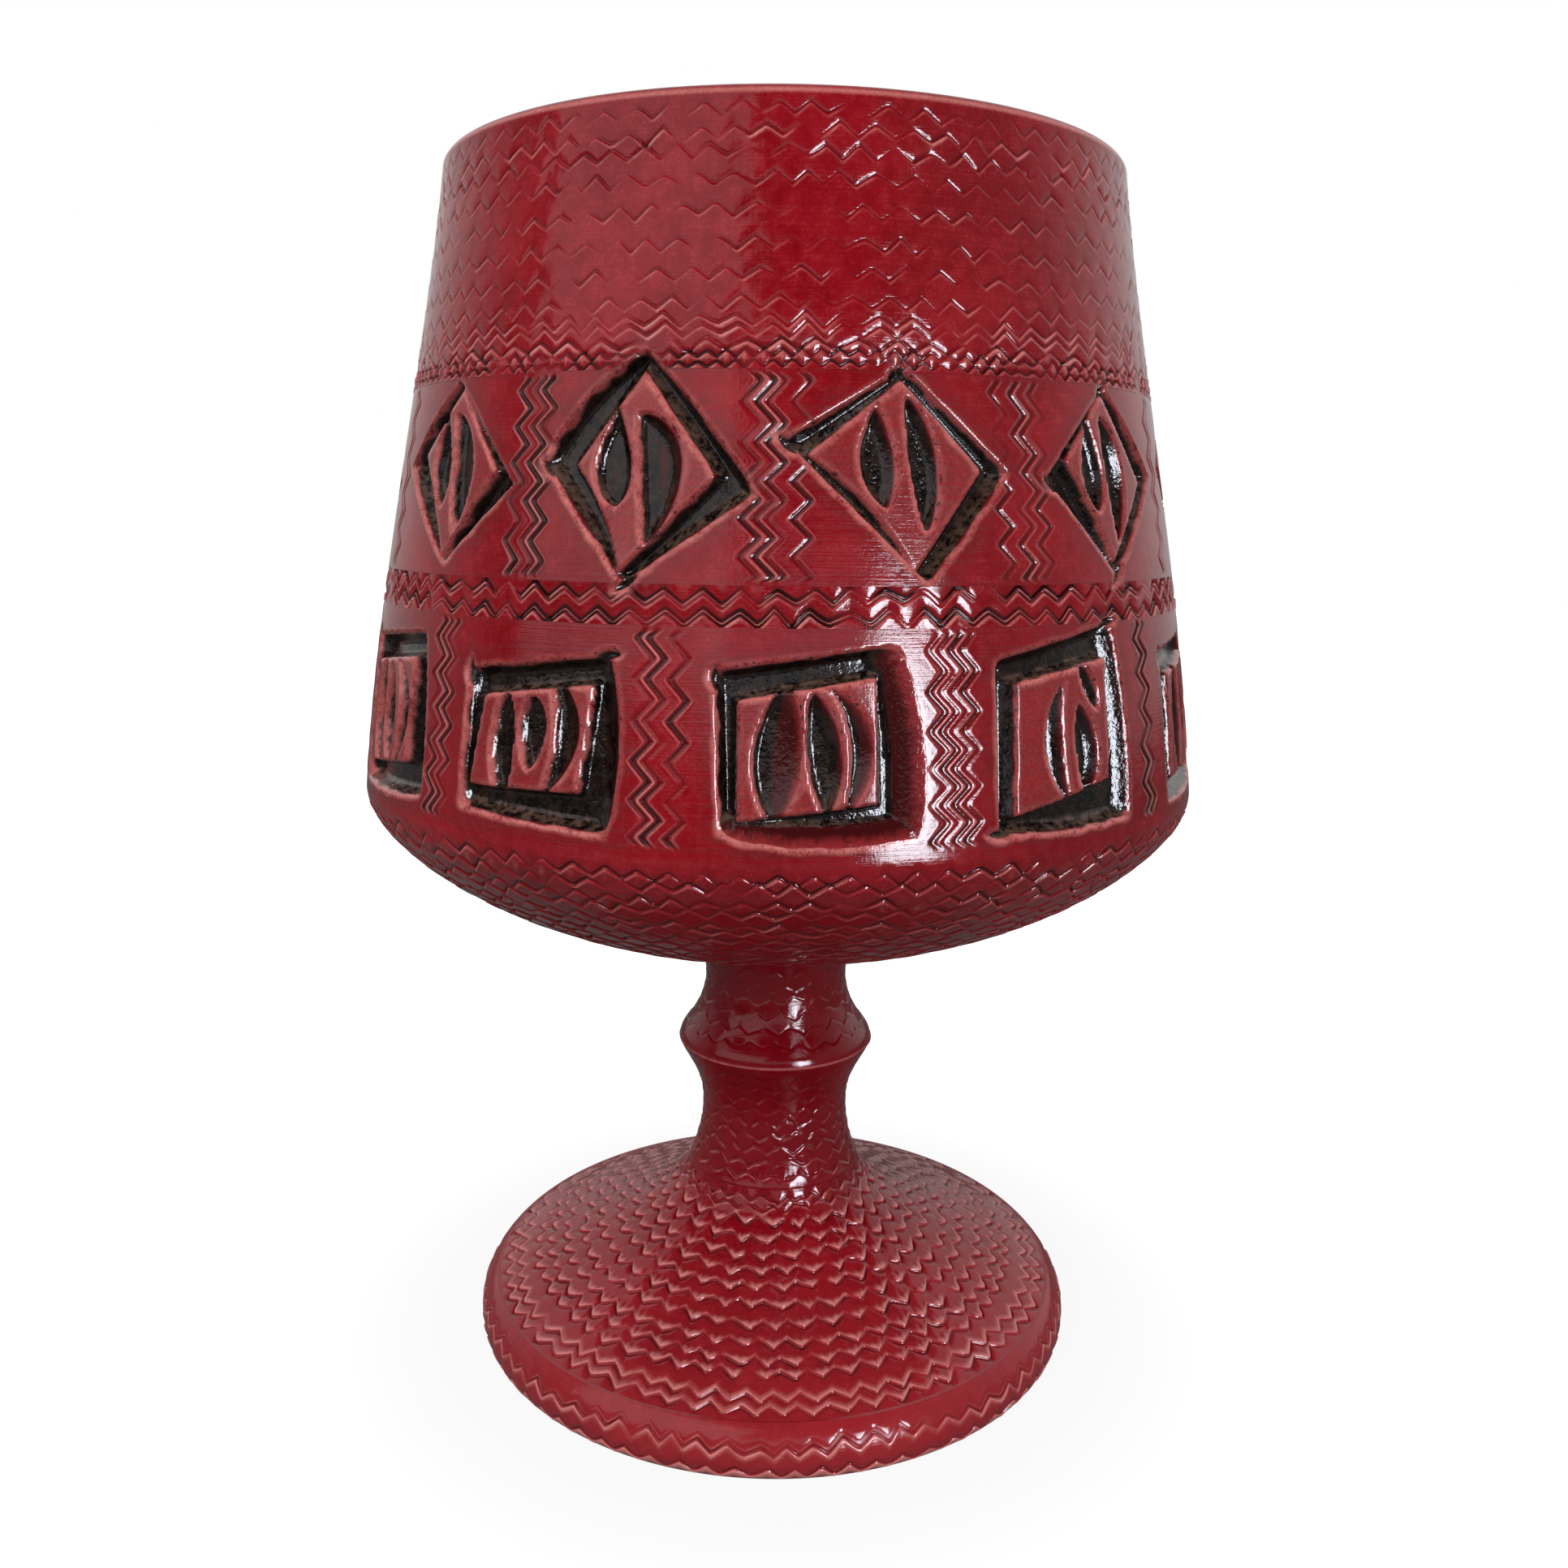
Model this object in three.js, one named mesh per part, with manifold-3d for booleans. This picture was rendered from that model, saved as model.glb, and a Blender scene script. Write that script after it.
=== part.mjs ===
// A chalice vase in glazed earthenware: a tapering bowl on a knopped hollow stem and a domed hollow foot.
// It is thrown in four sections. Each section has a short spigot that drops into a socket in the one above,
// and a thin ring of slip lies between their shoulders. Two bands of panels are carved into the bowl's wall.
// Millimetres, +Z up. The origin is the centre of the foot's resting ring, on the table.

import * as THREE from "three";
import { mergeVertices, toCreasedNormals } from "three/addons/utils/BufferGeometryUtils.js";
import Module from "manifold-3d";

// Foot
const restingRadius = 80.5;
const restingWidth = 6.5;
const restingChamfer = 0.75;
const swellRadius = 81.5;
const swellHeight = 4;
const ridgeRadius = 77.25;
const ridgeHeight = 12.75;
const ridgeStep = 0.75;
const footHeight = 43;
const footWall = 8;
const throatLength = 11;

// Stem
const neckRadius = 23.25;
const lowerStemHeight = 34.25;
const lowerWaistRadius = 19.85;
const lowerWaistHeight = 16.25;
const knopRadius = 26.25;
const upperStemHeight = 28;
const upperWaistRadius = 19.1;
const upperWaistHeight = 17;
const collarRadius = 22;
const boreRadius = 11;

// Bowl
const bowlHeight = 192.5;
const filletWidth = 3;
const filletHeight = 4;
const bellyRadius = 105.4;
const bellyHeight = 45.5;
const rimRadius = 82.1;
const bowlWall = 8;
const lipWall = 5;
const floorThickness = 12.5;

// Carving. A panel is a channel between an outer and an inner outline, round a raised block with gouges.
// Its points are (to the right, upwards) from its middle, and its sides run clockwise. A bulge moves the
// middle of a side outwards, and a slope is how far the channel's wall reaches in from it. A wall's bend is
// above 1 where it falls away at the edge, and below 1 where a shallow shelf ends in a groove. Angles are
// in degrees, from the front to the right, and heights are from the underside of the bowl.
const channelDepth = 3.3;
const channelSteps = 2;
const gougeDepth = 2.4;
const gougeStations = [0.18, 0.5, 0.82];
const wallBend = 1.7;
const shelfBend = 0.4;
const floorShare = 0.75;
const widestShare = 0.45;
const shelfShare = 0.65;
const cutterRise = 1;
const leanReach = 4;
const cornerSway = 0.9;
const innerSway = 0.54;
const gougeSway = 0.5;
const gougeStride = 5;
const creaseAngle = Math.PI / 6;

// A leaf-shaped cut between two ends: how far it bulges to each side, how wide each of its slopes is, a low
// above 1 where its widest place is nearer the bottom, and a smaller round for blunter ends.
const gouge = (top, bottom, [left, right], slopes, low, round) => (
  { top, bottom, left, right, slopes, low, round }
);

// The panels that the photo shows have what is their own under their number in the band.
const lozenges = {
  height: 120.5,
  angles: [-47.6, -16.6, 14.5, 47.2, 80, 112.6, 145.3, 178, 210.8, 243.4, 277.2],
  outer: [[-21.8, 2.0], [-0.5, 20.4], [21.8, -1.6], [0.6, -20.3]],
  inner: [[-14.2, 2.6], [0.0, 17.2], [14.6, -0.8], [-0.3, -17.8]],
  bulges: [0.6, 0.4, 0.2, 0.2],
  innerBulges: [0, 0, 0, -0.8],
  slopes: [1.4, 1.4, 3.0, 2.8],
  innerSlopes: [2.8, 2.6, 1.2, 1.3],
  bends: [wallBend, wallBend, wallBend, wallBend],
  gouges: [
    gouge([-5.6, 12.5], [-4.4, -7.1], [4.6, 3.2], [1.4, 2.4], 1.4, 0.65),
    gouge([-0.8, 12.0], [2.4, -13.2], [0.8, 7.0], [0.9, 3.0], 0.85, 0.6),
  ],
  own: {
    0: { outer: [[-24.0, 1.2], [-1.5, 18.6], [20.8, -3.1], [0.4, -19.3]] },
    1: {
      outer: [[-22.3, 1.3], [-0.6, 22.7], [22.7, -4.6], [-2.8, -22.0]],
      inner: [[-14.3, 0.6], [-0.6, 18.2], [14.5, -1.5], [-3.9, -19.7]],
      bulges: [2.2, 0.8, 0, 0],
      innerBulges: [0, 0, 0, -1.4],
      gouges: [
        gouge([-5.8, 12.5], [-5.4, -7.2], [5.0, 3.4], [1.6, 2.2], 1.6, 0.6),
        gouge([-1.6, 10.6], [0.8, -14.4], [0.3, 9.0], [0.9, 3.8], 0.75, 0.6),
      ],
    },
    2: {
      outer: [[-23.3, 5.6], [0.6, 19.4], [22.8, 0.1], [4.4, -21.5]],
      inner: [[-18.5, 2.8], [0.1, 17.0], [16.6, 0.4], [1.7, -19.1]],
      bulges: [0, 0, 0.4, 0],
      innerBulges: [0, 0, 0, -1.8],
      gouges: [
        gouge([-5.0, 12.4], [-3.4, -7.0], [4.6, 2.6], [1.2, 3.0], 1.2, 0.65),
        gouge([1.0, 14.2], [4.4, -11.4], [1.4, 4.6], [0.9, 2.4], 1.0, 0.55),
      ],
    },
    3: { outer: [[-20.5, -0.7], [1.7, 18.6], [22.6, 0.6], [0.1, -20.6]] },
  },
};

const squares = {
  height: 68.5,
  angles: [-59.5, -29.3, 3.5, 35.3, 67.5, 100, 132.6, 165.4, 198, 231, 265.5],
  outer: [[-18.4, 14.0], [16.6, 19.0], [21.4, -18.0], [-18.4, -18.4]],
  inner: [[-13.4, 8.8], [13.0, 12.8], [13.0, -11.2], [-14.4, -13.8]],
  bulges: [0, 1.6, 0.8, 0.2],
  innerBulges: [0, 0, 0, 0],
  slopes: [2.0, 4.6, 2.6, 1.6],
  innerSlopes: [1.6, 1.0, 1.0, 2.4],
  bends: [wallBend, wallBend, wallBend, wallBend],
  gouges: [
    gouge([-6.0, 11.0], [-7.0, -14.6], [4.6, 3.2], [0.9, 3.6], 1.0, 0.6),
    gouge([0.2, 10.0], [1.8, -12.8], [2.6, 4.2], [0.9, 2.8], 1.0, 0.6),
    gouge([3.0, 11.0], [4.8, -13.8], [-3.8, 9.0], [0.8, 5.0], 0.85, 0.6),
  ],
  own: {
    1: {
      outer: [[-17.5, 12.1], [18.0, 16.5], [19.6, -18.7], [-18.6, -17.0]],
      inner: [[-12.3, 6.9], [14.4, 10.3], [12.3, -10.8], [-15.7, -11.7]],
      bulges: [0, 2.5, 0, 0],
      gouges: [
        gouge([-6.0, 7.6], [-6.6, -13.5], [3.6, 2.8], [0.9, 1.4], 1.0, 0.45),
        gouge([0.6, 7.4], [0.3, -7.2], [2.9, 3.9], [0.9, 1.8], 0.8, 0.6),
        gouge([2.0, 14.5], [2.6, -13.2], [-4.0, 10.2], [0.9, 4.0], 0.95, 0.7),
      ],
    },
    2: {
      outer: [[-18.6, 14.3], [17.5, 19.5], [22.6, -17.6], [-17.8, -17.6]],
      inner: [[-13.9, 8.6], [12.6, 12.9], [13.2, -11.0], [-14.1, -14.3]],
      bulges: [0, 2.5, 2.2, 0],
      slopes: [1.6, 7.0, 5.0, 1.6],
      innerSlopes: [1.6, 0.9, 0.9, 2.0],
      bends: [wallBend, shelfBend, shelfBend, wallBend],
      gouges: [
        gouge([-4.4, 11.6], [-7.0, -15.2], [5.6, 4.3], [0.9, 6.5], 1.0, 0.6),
        gouge([0.4, 10.6], [3.2, -13.4], [2.6, 4.6], [0.9, 3.5], 1.0, 0.6),
        gouge([3.0, 10.6], [5.2, -14.2], [-3.8, 8.6], [0.8, 6.5], 0.85, 0.6),
      ],
    },
    3: {
      outer: [[-17.6, 16.0], [16.2, 22.4], [20.2, -19.0], [-19.0, -18.5]],
      inner: [[-13.0, 11.0], [13.0, 14.8], [12.6, -10.0], [-14.8, -15.2]],
      gouges: [
        gouge([0.0, 10.5], [0.6, -13.6], [6.5, -1.5], [0.9, 3.6], 1.0, 0.6),
        gouge([3.6, 6.2], [5.4, -13.2], [2.2, 5.0], [0.9, 3.4], 1.0, 0.6),
        gouge([4.6, 14.0], [9.6, 4.6], [1.5, 2.4], [0.8, 1.4], 1.0, 0.6),
      ],
    },
  },
};

// Luted joints
const slipThickness = 0.75;
const spigotHeight = 4;
const spigotClearance = 0.3;
const footSpigotRadius = 15;
const knopSpigotRadius = 18;
const bowlSpigotRadius = 15;

const socketDepth = spigotHeight - slipThickness + spigotClearance;
const segmentsRound = 40;

const point = (radius, height) => new THREE.Vector2(radius, height);

// A profile curve between two points. Each handle is its share of the way across and of the way up.
function curve(from, to, firstHandle, secondHandle, steps) {
  const handle = ([across, up]) => point(
    THREE.MathUtils.lerp(from.x, to.x, across),
    THREE.MathUtils.lerp(from.y, to.y, up),
  );
  const bezier = new THREE.CubicBezierCurve(from, handle(firstHandle), handle(secondHandle), to);
  return bezier.getPoints(steps);
}

// The inner face of a wall: each point of a rising outer curve moved into the clay, square to the curve.
function innerFace(outer, wallAt) {
  return outer.map((here, index) => {
    const before = outer[Math.max(index - 1, 0)];
    const after = outer[Math.min(index + 1, outer.length - 1)];
    const along = after.clone().sub(before).normalize();
    const intoClay = point(-along.y, along.x);
    return here.clone().addScaledVector(intoClay, wallAt(here.y));
  });
}

// The stretch of a rising curve between two heights, cut exactly at a height that it crosses.
function stretch(rising, low, high) {
  const crossing = (a, b, height) => a.clone().lerp(b, (height - a.y) / (b.y - a.y));
  const kept = [];
  rising.forEach((here, index) => {
    const before = rising[index - 1];
    for (const height of [low, high]) {
      if (before && before.y < height && here.y > height) kept.push(crossing(before, here, height));
    }
    if (here.y >= low && here.y <= high) kept.push(here);
  });
  return kept;
}

// Turns a profile round the Z axis. Points that fall on the one before them are left out.
function turned(name, profile, { color, roughness }) {
  const sameSpot = 1e-4;
  const outline = profile.filter((here, index) => !index || here.distanceTo(profile[index - 1]) > sameSpot);
  const geometry = new THREE.LatheGeometry(outline, segmentsRound).rotateX(Math.PI / 2);
  const mesh = new THREE.Mesh(geometry, new THREE.MeshStandardMaterial({ color, roughness, metalness: 0 }));
  mesh.name = name;
  return mesh;
}

// A flat shoulder at the given height with its spigot on top, from the outside inwards to the bore.
function shoulderAndSpigot(shoulderHeight, spigotRadius) {
  return [
    point(spigotRadius, shoulderHeight),
    point(spigotRadius, shoulderHeight + spigotHeight),
    point(boreRadius, shoulderHeight + spigotHeight),
  ];
}

// The hollow foot: resting ring, swelling edge, fine ridge, and a dome that flares up into the neck.
function footProfile() {
  const ringInner = point(restingRadius - restingWidth, 0);
  const swell = point(swellRadius, swellHeight);
  const ridge = point(ridgeRadius, ridgeHeight);
  const neck = point(neckRadius, footHeight);
  const dome = curve(point(ridgeRadius - ridgeStep, ridgeHeight), neck, [0.51, 0.41], [0.91, 0.54], 10);
  const throat = footHeight - throatLength;
  const inside = stretch(innerFace(dome, () => footWall), 0, throat).reverse();
  return [
    ringInner,
    point(restingRadius - restingChamfer, 0),
    ...curve(point(restingRadius, restingChamfer), swell, [0.6, 0.3], [1, 0.6], 2),
    ...curve(swell, ridge, [0, 0.5], [0.6, 0.85], 3),
    ...dome,
    ...shoulderAndSpigot(footHeight, footSpigotRadius),
    ...curve(point(boreRadius, footHeight), inside[0], [0, 0.4], [0.5, 0.9], 3),
    ...inside,
    ringInner,
  ];
}

// A hollow stem section that narrows to a waist, with a socket below and a spigot on top.
function stemProfile({ bottom, waist, top, handles, socketRadius, spigotRadius }) {
  return [
    bottom,
    ...curve(bottom, waist, ...handles.below, 6),
    ...curve(waist, top, ...handles.above, 6),
    ...shoulderAndSpigot(top.y, spigotRadius),
    point(boreRadius, socketDepth),
    point(socketRadius, socketDepth),
    point(socketRadius, bottom.y),
    bottom,
  ];
}

// The bowl's wall outside, from the belly up to the lip
function bowlWallCurve() {
  const belly = point(bellyRadius, bellyHeight);
  const lipBase = point(rimRadius, bowlHeight - lipWall / 2);
  return curve(belly, lipBase, [0.17, 0.316], [0.855, 0.785], 6);
}

// The bowl: a shallow underside, the belly, a wall that tapers to a round lip, and a flat floor inside.
function bowlProfile() {
  const socketRadius = bowlSpigotRadius + spigotClearance;
  const collar = point(collarRadius, 0);
  const filletTop = point(collarRadius + filletWidth, filletHeight);
  const lipRadius = lipWall / 2;
  const wall = bowlWallCurve();
  const belly = wall[0];
  const lipBase = wall[wall.length - 1];
  const underside = curve(filletTop, belly, [0.53, 0.02], [1, 0.67], 10);
  const lip = new THREE.EllipseCurve(rimRadius - lipRadius, lipBase.y, lipRadius, lipRadius, 0, Math.PI);
  const wallAt = (height) => THREE.MathUtils.mapLinear(
    Math.max(height, bellyHeight), bellyHeight, lipBase.y, bowlWall, lipWall,
  );
  const outer = [...underside, ...wall.slice(1)];
  const inside = stretch(innerFace(outer, wallAt), floorThickness, lipBase.y - lipRadius).reverse();
  return [
    point(0, socketDepth),
    point(socketRadius, socketDepth),
    point(socketRadius, 0),
    ...curve(collar, filletTop, [0, 0.55], [0.4, 1], 3),
    ...outer,
    ...lip.getPoints(6),
    ...inside,
    point(0, floorThickness),
  ];
}

// The radius of the bowl's wall at a height, between the points of its outline.
function wallRadius(outline, height) {
  const index = Math.max(1, outline.findIndex((here) => here.y >= height));
  const [low, high] = [outline[index - 1], outline[index]];
  return THREE.MathUtils.mapLinear(height, low.y, high.y, low.x, high.x);
}

// A point of a panel on the bowl's wall, moved square to the wall into the clay by the depth.
function onWall(outline, panel, [across, up], depth) {
  const height = panel.height + up;
  const radius = wallRadius(outline, height);
  const [above, below] = [wallRadius(outline, height + leanReach), wallRadius(outline, height - leanReach)];
  const lean = (above - below) / (2 * leanReach);
  const outward = point(1, -lean).normalize();
  const turn = THREE.MathUtils.degToRad(panel.angle) + across / radius;
  const inside = radius - depth * outward.x;
  return new THREE.Vector3(inside * Math.sin(turn), -inside * Math.cos(turn), height - depth * outward.y);
}

const between = ([x0, y0], [x1, y1], share) => [x0 + (x1 - x0) * share, y0 + (y1 - y0) * share];
const moved = ([x, y], [alongX, alongY], amount) => [x + alongX * amount, y + alongY * amount];

// How deep a cut is at a share of its wall's reach.
const hollow = (share, bend) => 1 - (1 - Math.min(Math.max(share, 0), 1)) ** bend;

// A hand-cut panel is never quite like the next one: each corner strays by sines of its number.
const sway = (index, corner) => [Math.sin(2.1 * index + 1.3 * corner), Math.cos(1.7 * index + 2.9 * corner)];

// A point of an outline's side, at a share of its length. The bulge is a parabola on the straight side.
function sidePoint(corners, bulges, side, share) {
  const [start, end] = [corners[side], corners[(side + 1) % 4]];
  const length = Math.hypot(end[0] - start[0], end[1] - start[1]);
  const outward = [(start[1] - end[1]) / length, (end[0] - start[0]) / length];
  return moved(between(start, end, share), outward, 4 * bulges[side] * share * (1 - share));
}

// How far each wall of a side's channel reaches, as shares of the channel's width.
function wallReaches(panel, side) {
  const [start, end] = [panel.outer[side], panel.outer[(side + 1) % 4]];
  const along = new THREE.Vector2(end[0] - start[0], end[1] - start[1]).normalize();
  const outer = sidePoint(panel.outer, panel.bulges, side, 0.5);
  const inner = sidePoint(panel.inner, panel.innerBulges, side, 0.5);
  const width = Math.abs((inner[0] - outer[0]) * along.y - (inner[1] - outer[1]) * along.x);
  return { outerReach: panel.slopes[side] / width, innerReach: panel.innerSlopes[side] / width };
}

// The closed cutter of a channel: at each step round the panel, a section from the outer edge down to the
// floor and up to the inner edge, with both edges carried a little out of the wall. A corner takes the mean
// of its two sides.
function channelSections(outline, panel) {
  const sections = [];
  for (let side = 0; side < 4; side += 1) {
    const [own, before] = [wallReaches(panel, side), wallReaches(panel, (side + 3) % 4)];
    for (let step = 0; step < channelSteps; step += 1) {
      const outer = sidePoint(panel.outer, panel.bulges, side, step / channelSteps);
      const inner = sidePoint(panel.inner, panel.innerBulges, side, step / channelSteps);
      const outerReach = step ? own.outerReach : (own.outerReach + before.outerReach) / 2;
      const innerReach = step ? own.innerReach : (own.innerReach + before.innerReach) / 2;
      const bend = panel.bends[side];
      const depthAt = (share) => channelDepth * Math.min(
        hollow(share / outerReach, bend),
        hollow((1 - share) / innerReach, wallBend),
      );
      const floorOuter = Math.min(bend < 1 ? shelfShare : widestShare, floorShare * outerReach);
      const floorInner = 1 - Math.min(1 - shelfShare, floorShare * innerReach);
      sections.push([
        onWall(outline, panel, outer, -cutterRise),
        onWall(outline, panel, outer, 0),
        onWall(outline, panel, between(outer, inner, floorOuter), depthAt(floorOuter)),
        onWall(outline, panel, between(outer, inner, floorInner), depthAt(floorInner)),
        onWall(outline, panel, inner, 0),
        onWall(outline, panel, inner, -cutterRise),
      ]);
    }
  }
  return sections;
}

// The cutter of a leaf-shaped gouge. Each edge is a power of a half wave of a sine, measured from the
// straight line between the ends, and each end is a point just out of the wall.
function gougeSections(outline, panel, cut) {
  const [top, bottom] = [cut.top, cut.bottom];
  const length = Math.hypot(bottom[0] - top[0], bottom[1] - top[1]);
  const side = [-(bottom[1] - top[1]) / length, (bottom[0] - top[0]) / length];
  return gougeStations.map((share) => {
    const middle = between(top, bottom, share);
    const wave = Math.sin(Math.PI * share ** cut.low) ** cut.round;
    const [left, right] = [-cut.left * wave, cut.right * wave];
    const reach = (right - left) / (cut.slopes[0] + cut.slopes[1]);
    const keel = left + reach * cut.slopes[0];
    const place = (across, depth) => onWall(outline, panel, moved(middle, side, across), depth);
    return [
      place(left, -cutterRise),
      place(left, 0),
      place(keel, gougeDepth * hollow(reach, wallBend)),
      place(right, 0),
      place(right, -cutterRise),
    ];
  });
}

// A closed mesh from loops of points, each joined to the next: round in a ring, or up to a point at each end.
function loftedSolid(wasm, loops, tips = []) {
  const points = [...loops.flat(), ...tips];
  const size = loops[0].length;
  const triangles = [];
  const strips = tips.length ? loops.length - 1 : loops.length;
  for (let loop = 0; loop < strips; loop += 1) {
    const [here, next] = [loop * size, ((loop + 1) % loops.length) * size];
    for (let step = 0; step < size; step += 1) {
      const after = (step + 1) % size;
      triangles.push([here + step, here + after, next + after], [here + step, next + after, next + step]);
    }
  }
  if (tips.length) {
    const [firstTip, lastTip] = [points.length - 2, points.length - 1];
    const last = (loops.length - 1) * size;
    for (let step = 0; step < size; step += 1) {
      const after = (step + 1) % size;
      triangles.push([firstTip, after, step], [lastTip, last + step, last + after]);
    }
  }
  const volume = triangles.reduce((sum, [a, b, c]) => (
    sum + points[a].dot(new THREE.Vector3().crossVectors(points[b], points[c]))
  ), 0);
  const facing = volume < 0 ? triangles.map(([a, b, c]) => [a, c, b]) : triangles;
  return new wasm.Manifold(new wasm.Mesh({
    numProp: 3,
    vertProperties: new Float32Array(points.flatMap((here) => here.toArray())),
    triVerts: new Uint32Array(facing.flat()),
  }));
}

// A turned geometry as a solid, with its seam joined and the flat triangles at its poles left out.
function turnedSolid(wasm, geometry) {
  const bare = geometry.clone();
  bare.deleteAttribute("normal");
  bare.deleteAttribute("uv");
  const joined = mergeVertices(bare);
  const triangles = [];
  for (let corner = 0; corner < joined.index.count; corner += 3) {
    const [a, b, c] = [0, 1, 2].map((step) => joined.index.getX(corner + step));
    if (a !== b && b !== c && c !== a) triangles.push(a, b, c);
  }
  return new wasm.Manifold(new wasm.Mesh({
    numProp: 3,
    vertProperties: new Float32Array(joined.attributes.position.array),
    triVerts: new Uint32Array(triangles),
  }));
}

// The panels of a band, each with its own corners and gouges where it has them.
function panelsOf(band) {
  return band.angles.map((angle, index) => {
    const own = band.own[index] ?? {};
    const outer = own.outer ?? band.outer.map((corner, k) => moved(corner, sway(index, k), cornerSway));
    const inner = own.inner ?? band.inner.map((corner, k) => moved(corner, sway(index, k), innerSway));
    const gouges = own.gouges ?? band.gouges.map((cut, k) => ({
      ...cut,
      top: moved(cut.top, sway(index + gougeStride * k, 0), gougeSway),
      bottom: moved(cut.bottom, sway(index + gougeStride * k, 1), gougeSway),
    }));
    return { ...band, ...own, angle, outer, inner, gouges };
  });
}

// The bowl with its channels and gouges cut out of the wall.
async function carved(geometry) {
  const wasm = await Module();
  wasm.setup();
  const outline = bowlWallCurve();
  let clay = turnedSolid(wasm, geometry);
  for (const panel of [...panelsOf(lozenges), ...panelsOf(squares)]) {
    clay = clay.subtract(loftedSolid(wasm, channelSections(outline, panel)));
    for (const cut of panel.gouges) {
      const tips = [cut.top, cut.bottom].map((end) => onWall(outline, panel, end, -cutterRise / 2));
      clay = clay.subtract(loftedSolid(wasm, gougeSections(outline, panel, cut), tips));
    }
  }
  const { vertProperties, triVerts } = clay.getMesh();
  const cut = new THREE.BufferGeometry();
  cut.setAttribute("position", new THREE.BufferAttribute(vertProperties, 3));
  cut.setIndex(new THREE.BufferAttribute(triVerts, 1));
  return toCreasedNormals(cut, creaseAngle);
}

// The slip between two shoulders, as wide as the shoulder and open at the spigot.
function slipProfile(spigotRadius, shoulderRadius) {
  const innerRadius = spigotRadius + spigotClearance;
  return [
    point(innerRadius, 0),
    point(shoulderRadius, 0),
    point(shoulderRadius, slipThickness),
    point(innerRadius, slipThickness),
    point(innerRadius, 0),
  ];
}

const crimsonGlaze = { color: 0x7a1420, roughness: 0.28 };
const maroonGlaze = { color: 0x6b101b, roughness: 0.22 };
const bareSlip = { color: 0xb9806a, roughness: 0.8 };

const lowerStemProfile = stemProfile({
  bottom: point(neckRadius, 0),
  waist: point(lowerWaistRadius, lowerWaistHeight),
  top: point(knopRadius, lowerStemHeight),
  handles: { below: [[0.6, 0.27], [1, 0.62]], above: [[0, 0.5], [0.8, 0.8]] },
  socketRadius: footSpigotRadius + spigotClearance,
  spigotRadius: knopSpigotRadius,
});

const upperStemProfile = stemProfile({
  bottom: point(knopRadius, 0),
  waist: point(upperWaistRadius, upperWaistHeight),
  top: point(collarRadius, upperStemHeight),
  handles: { below: [[0, 0.22], [0.85, 0.35]], above: [[0, 0.45], [0.4, 0.75]] },
  socketRadius: knopSpigotRadius + spigotClearance,
  spigotRadius: bowlSpigotRadius,
});

// The sections from the table upwards, each with the height that it adds to the stack.
const sections = [
  ["foot", footProfile(), footHeight, crimsonGlaze],
  ["foot_slip_ring", slipProfile(footSpigotRadius, neckRadius), slipThickness, bareSlip],
  ["lower_stem", lowerStemProfile, lowerStemHeight, maroonGlaze],
  ["knop_slip_ring", slipProfile(knopSpigotRadius, knopRadius), slipThickness, bareSlip],
  ["upper_stem", upperStemProfile, upperStemHeight, maroonGlaze],
  ["bowl_slip_ring", slipProfile(bowlSpigotRadius, collarRadius), slipThickness, bareSlip],
  ["bowl", bowlProfile(), bowlHeight, crimsonGlaze],
];

const vase = new THREE.Group();
vase.name = "chalice_vase";
let stackHeight = 0;
for (const [name, profile, height, finish] of sections) {
  const section = turned(name, profile, finish);
  section.position.z = stackHeight;
  vase.add(section);
  stackHeight += height;
}

const bowl = vase.getObjectByName("bowl");
bowl.geometry = await carved(bowl.geometry);

export default vase;
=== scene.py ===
import math
import bpy
import numpy as np
from mathutils import Matrix, Vector


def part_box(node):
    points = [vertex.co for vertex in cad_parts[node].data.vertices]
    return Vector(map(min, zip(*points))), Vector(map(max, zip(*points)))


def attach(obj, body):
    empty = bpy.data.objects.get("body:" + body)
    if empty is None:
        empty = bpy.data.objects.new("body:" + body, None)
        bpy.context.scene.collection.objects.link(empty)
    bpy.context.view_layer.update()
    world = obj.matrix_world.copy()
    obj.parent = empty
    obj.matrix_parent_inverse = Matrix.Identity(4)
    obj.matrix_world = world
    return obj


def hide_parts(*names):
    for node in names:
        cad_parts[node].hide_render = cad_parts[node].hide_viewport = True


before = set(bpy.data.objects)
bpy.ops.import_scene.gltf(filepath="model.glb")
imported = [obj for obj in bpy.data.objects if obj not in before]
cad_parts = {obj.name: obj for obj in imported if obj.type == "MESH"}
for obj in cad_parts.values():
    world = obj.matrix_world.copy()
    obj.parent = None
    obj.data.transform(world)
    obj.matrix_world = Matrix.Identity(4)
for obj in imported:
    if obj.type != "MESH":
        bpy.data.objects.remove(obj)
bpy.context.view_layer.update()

# A footed chalice vase, thrown in sections, stamped with zigzag rows, carved with lozenges and squares,
# and glazed crimson. Lengths below are millimetres. Angle 0 faces the camera and grows to its right.

metres = 0.001
fullTurn = 2 * math.pi


# Where the CAD pieces stand

def heights(node):
    low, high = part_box(node)
    return low.z / metres, high.z / metres


def reach(node):
    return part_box(node)[1].x / metres


footTop = heights("foot_slip_ring")[0]
lowerStem = dict(bottom=heights("lower_stem")[0], shoulder=heights("knop_slip_ring")[0])
upperStem = dict(bottom=heights("upper_stem")[0], shoulder=heights("bowl_slip_ring")[0])
bowlBottom, bowlTop = heights("bowl")
print("frame loaded", footTop, lowerStem, upperStem, bowlBottom, bowlTop)


# Outlines

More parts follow.
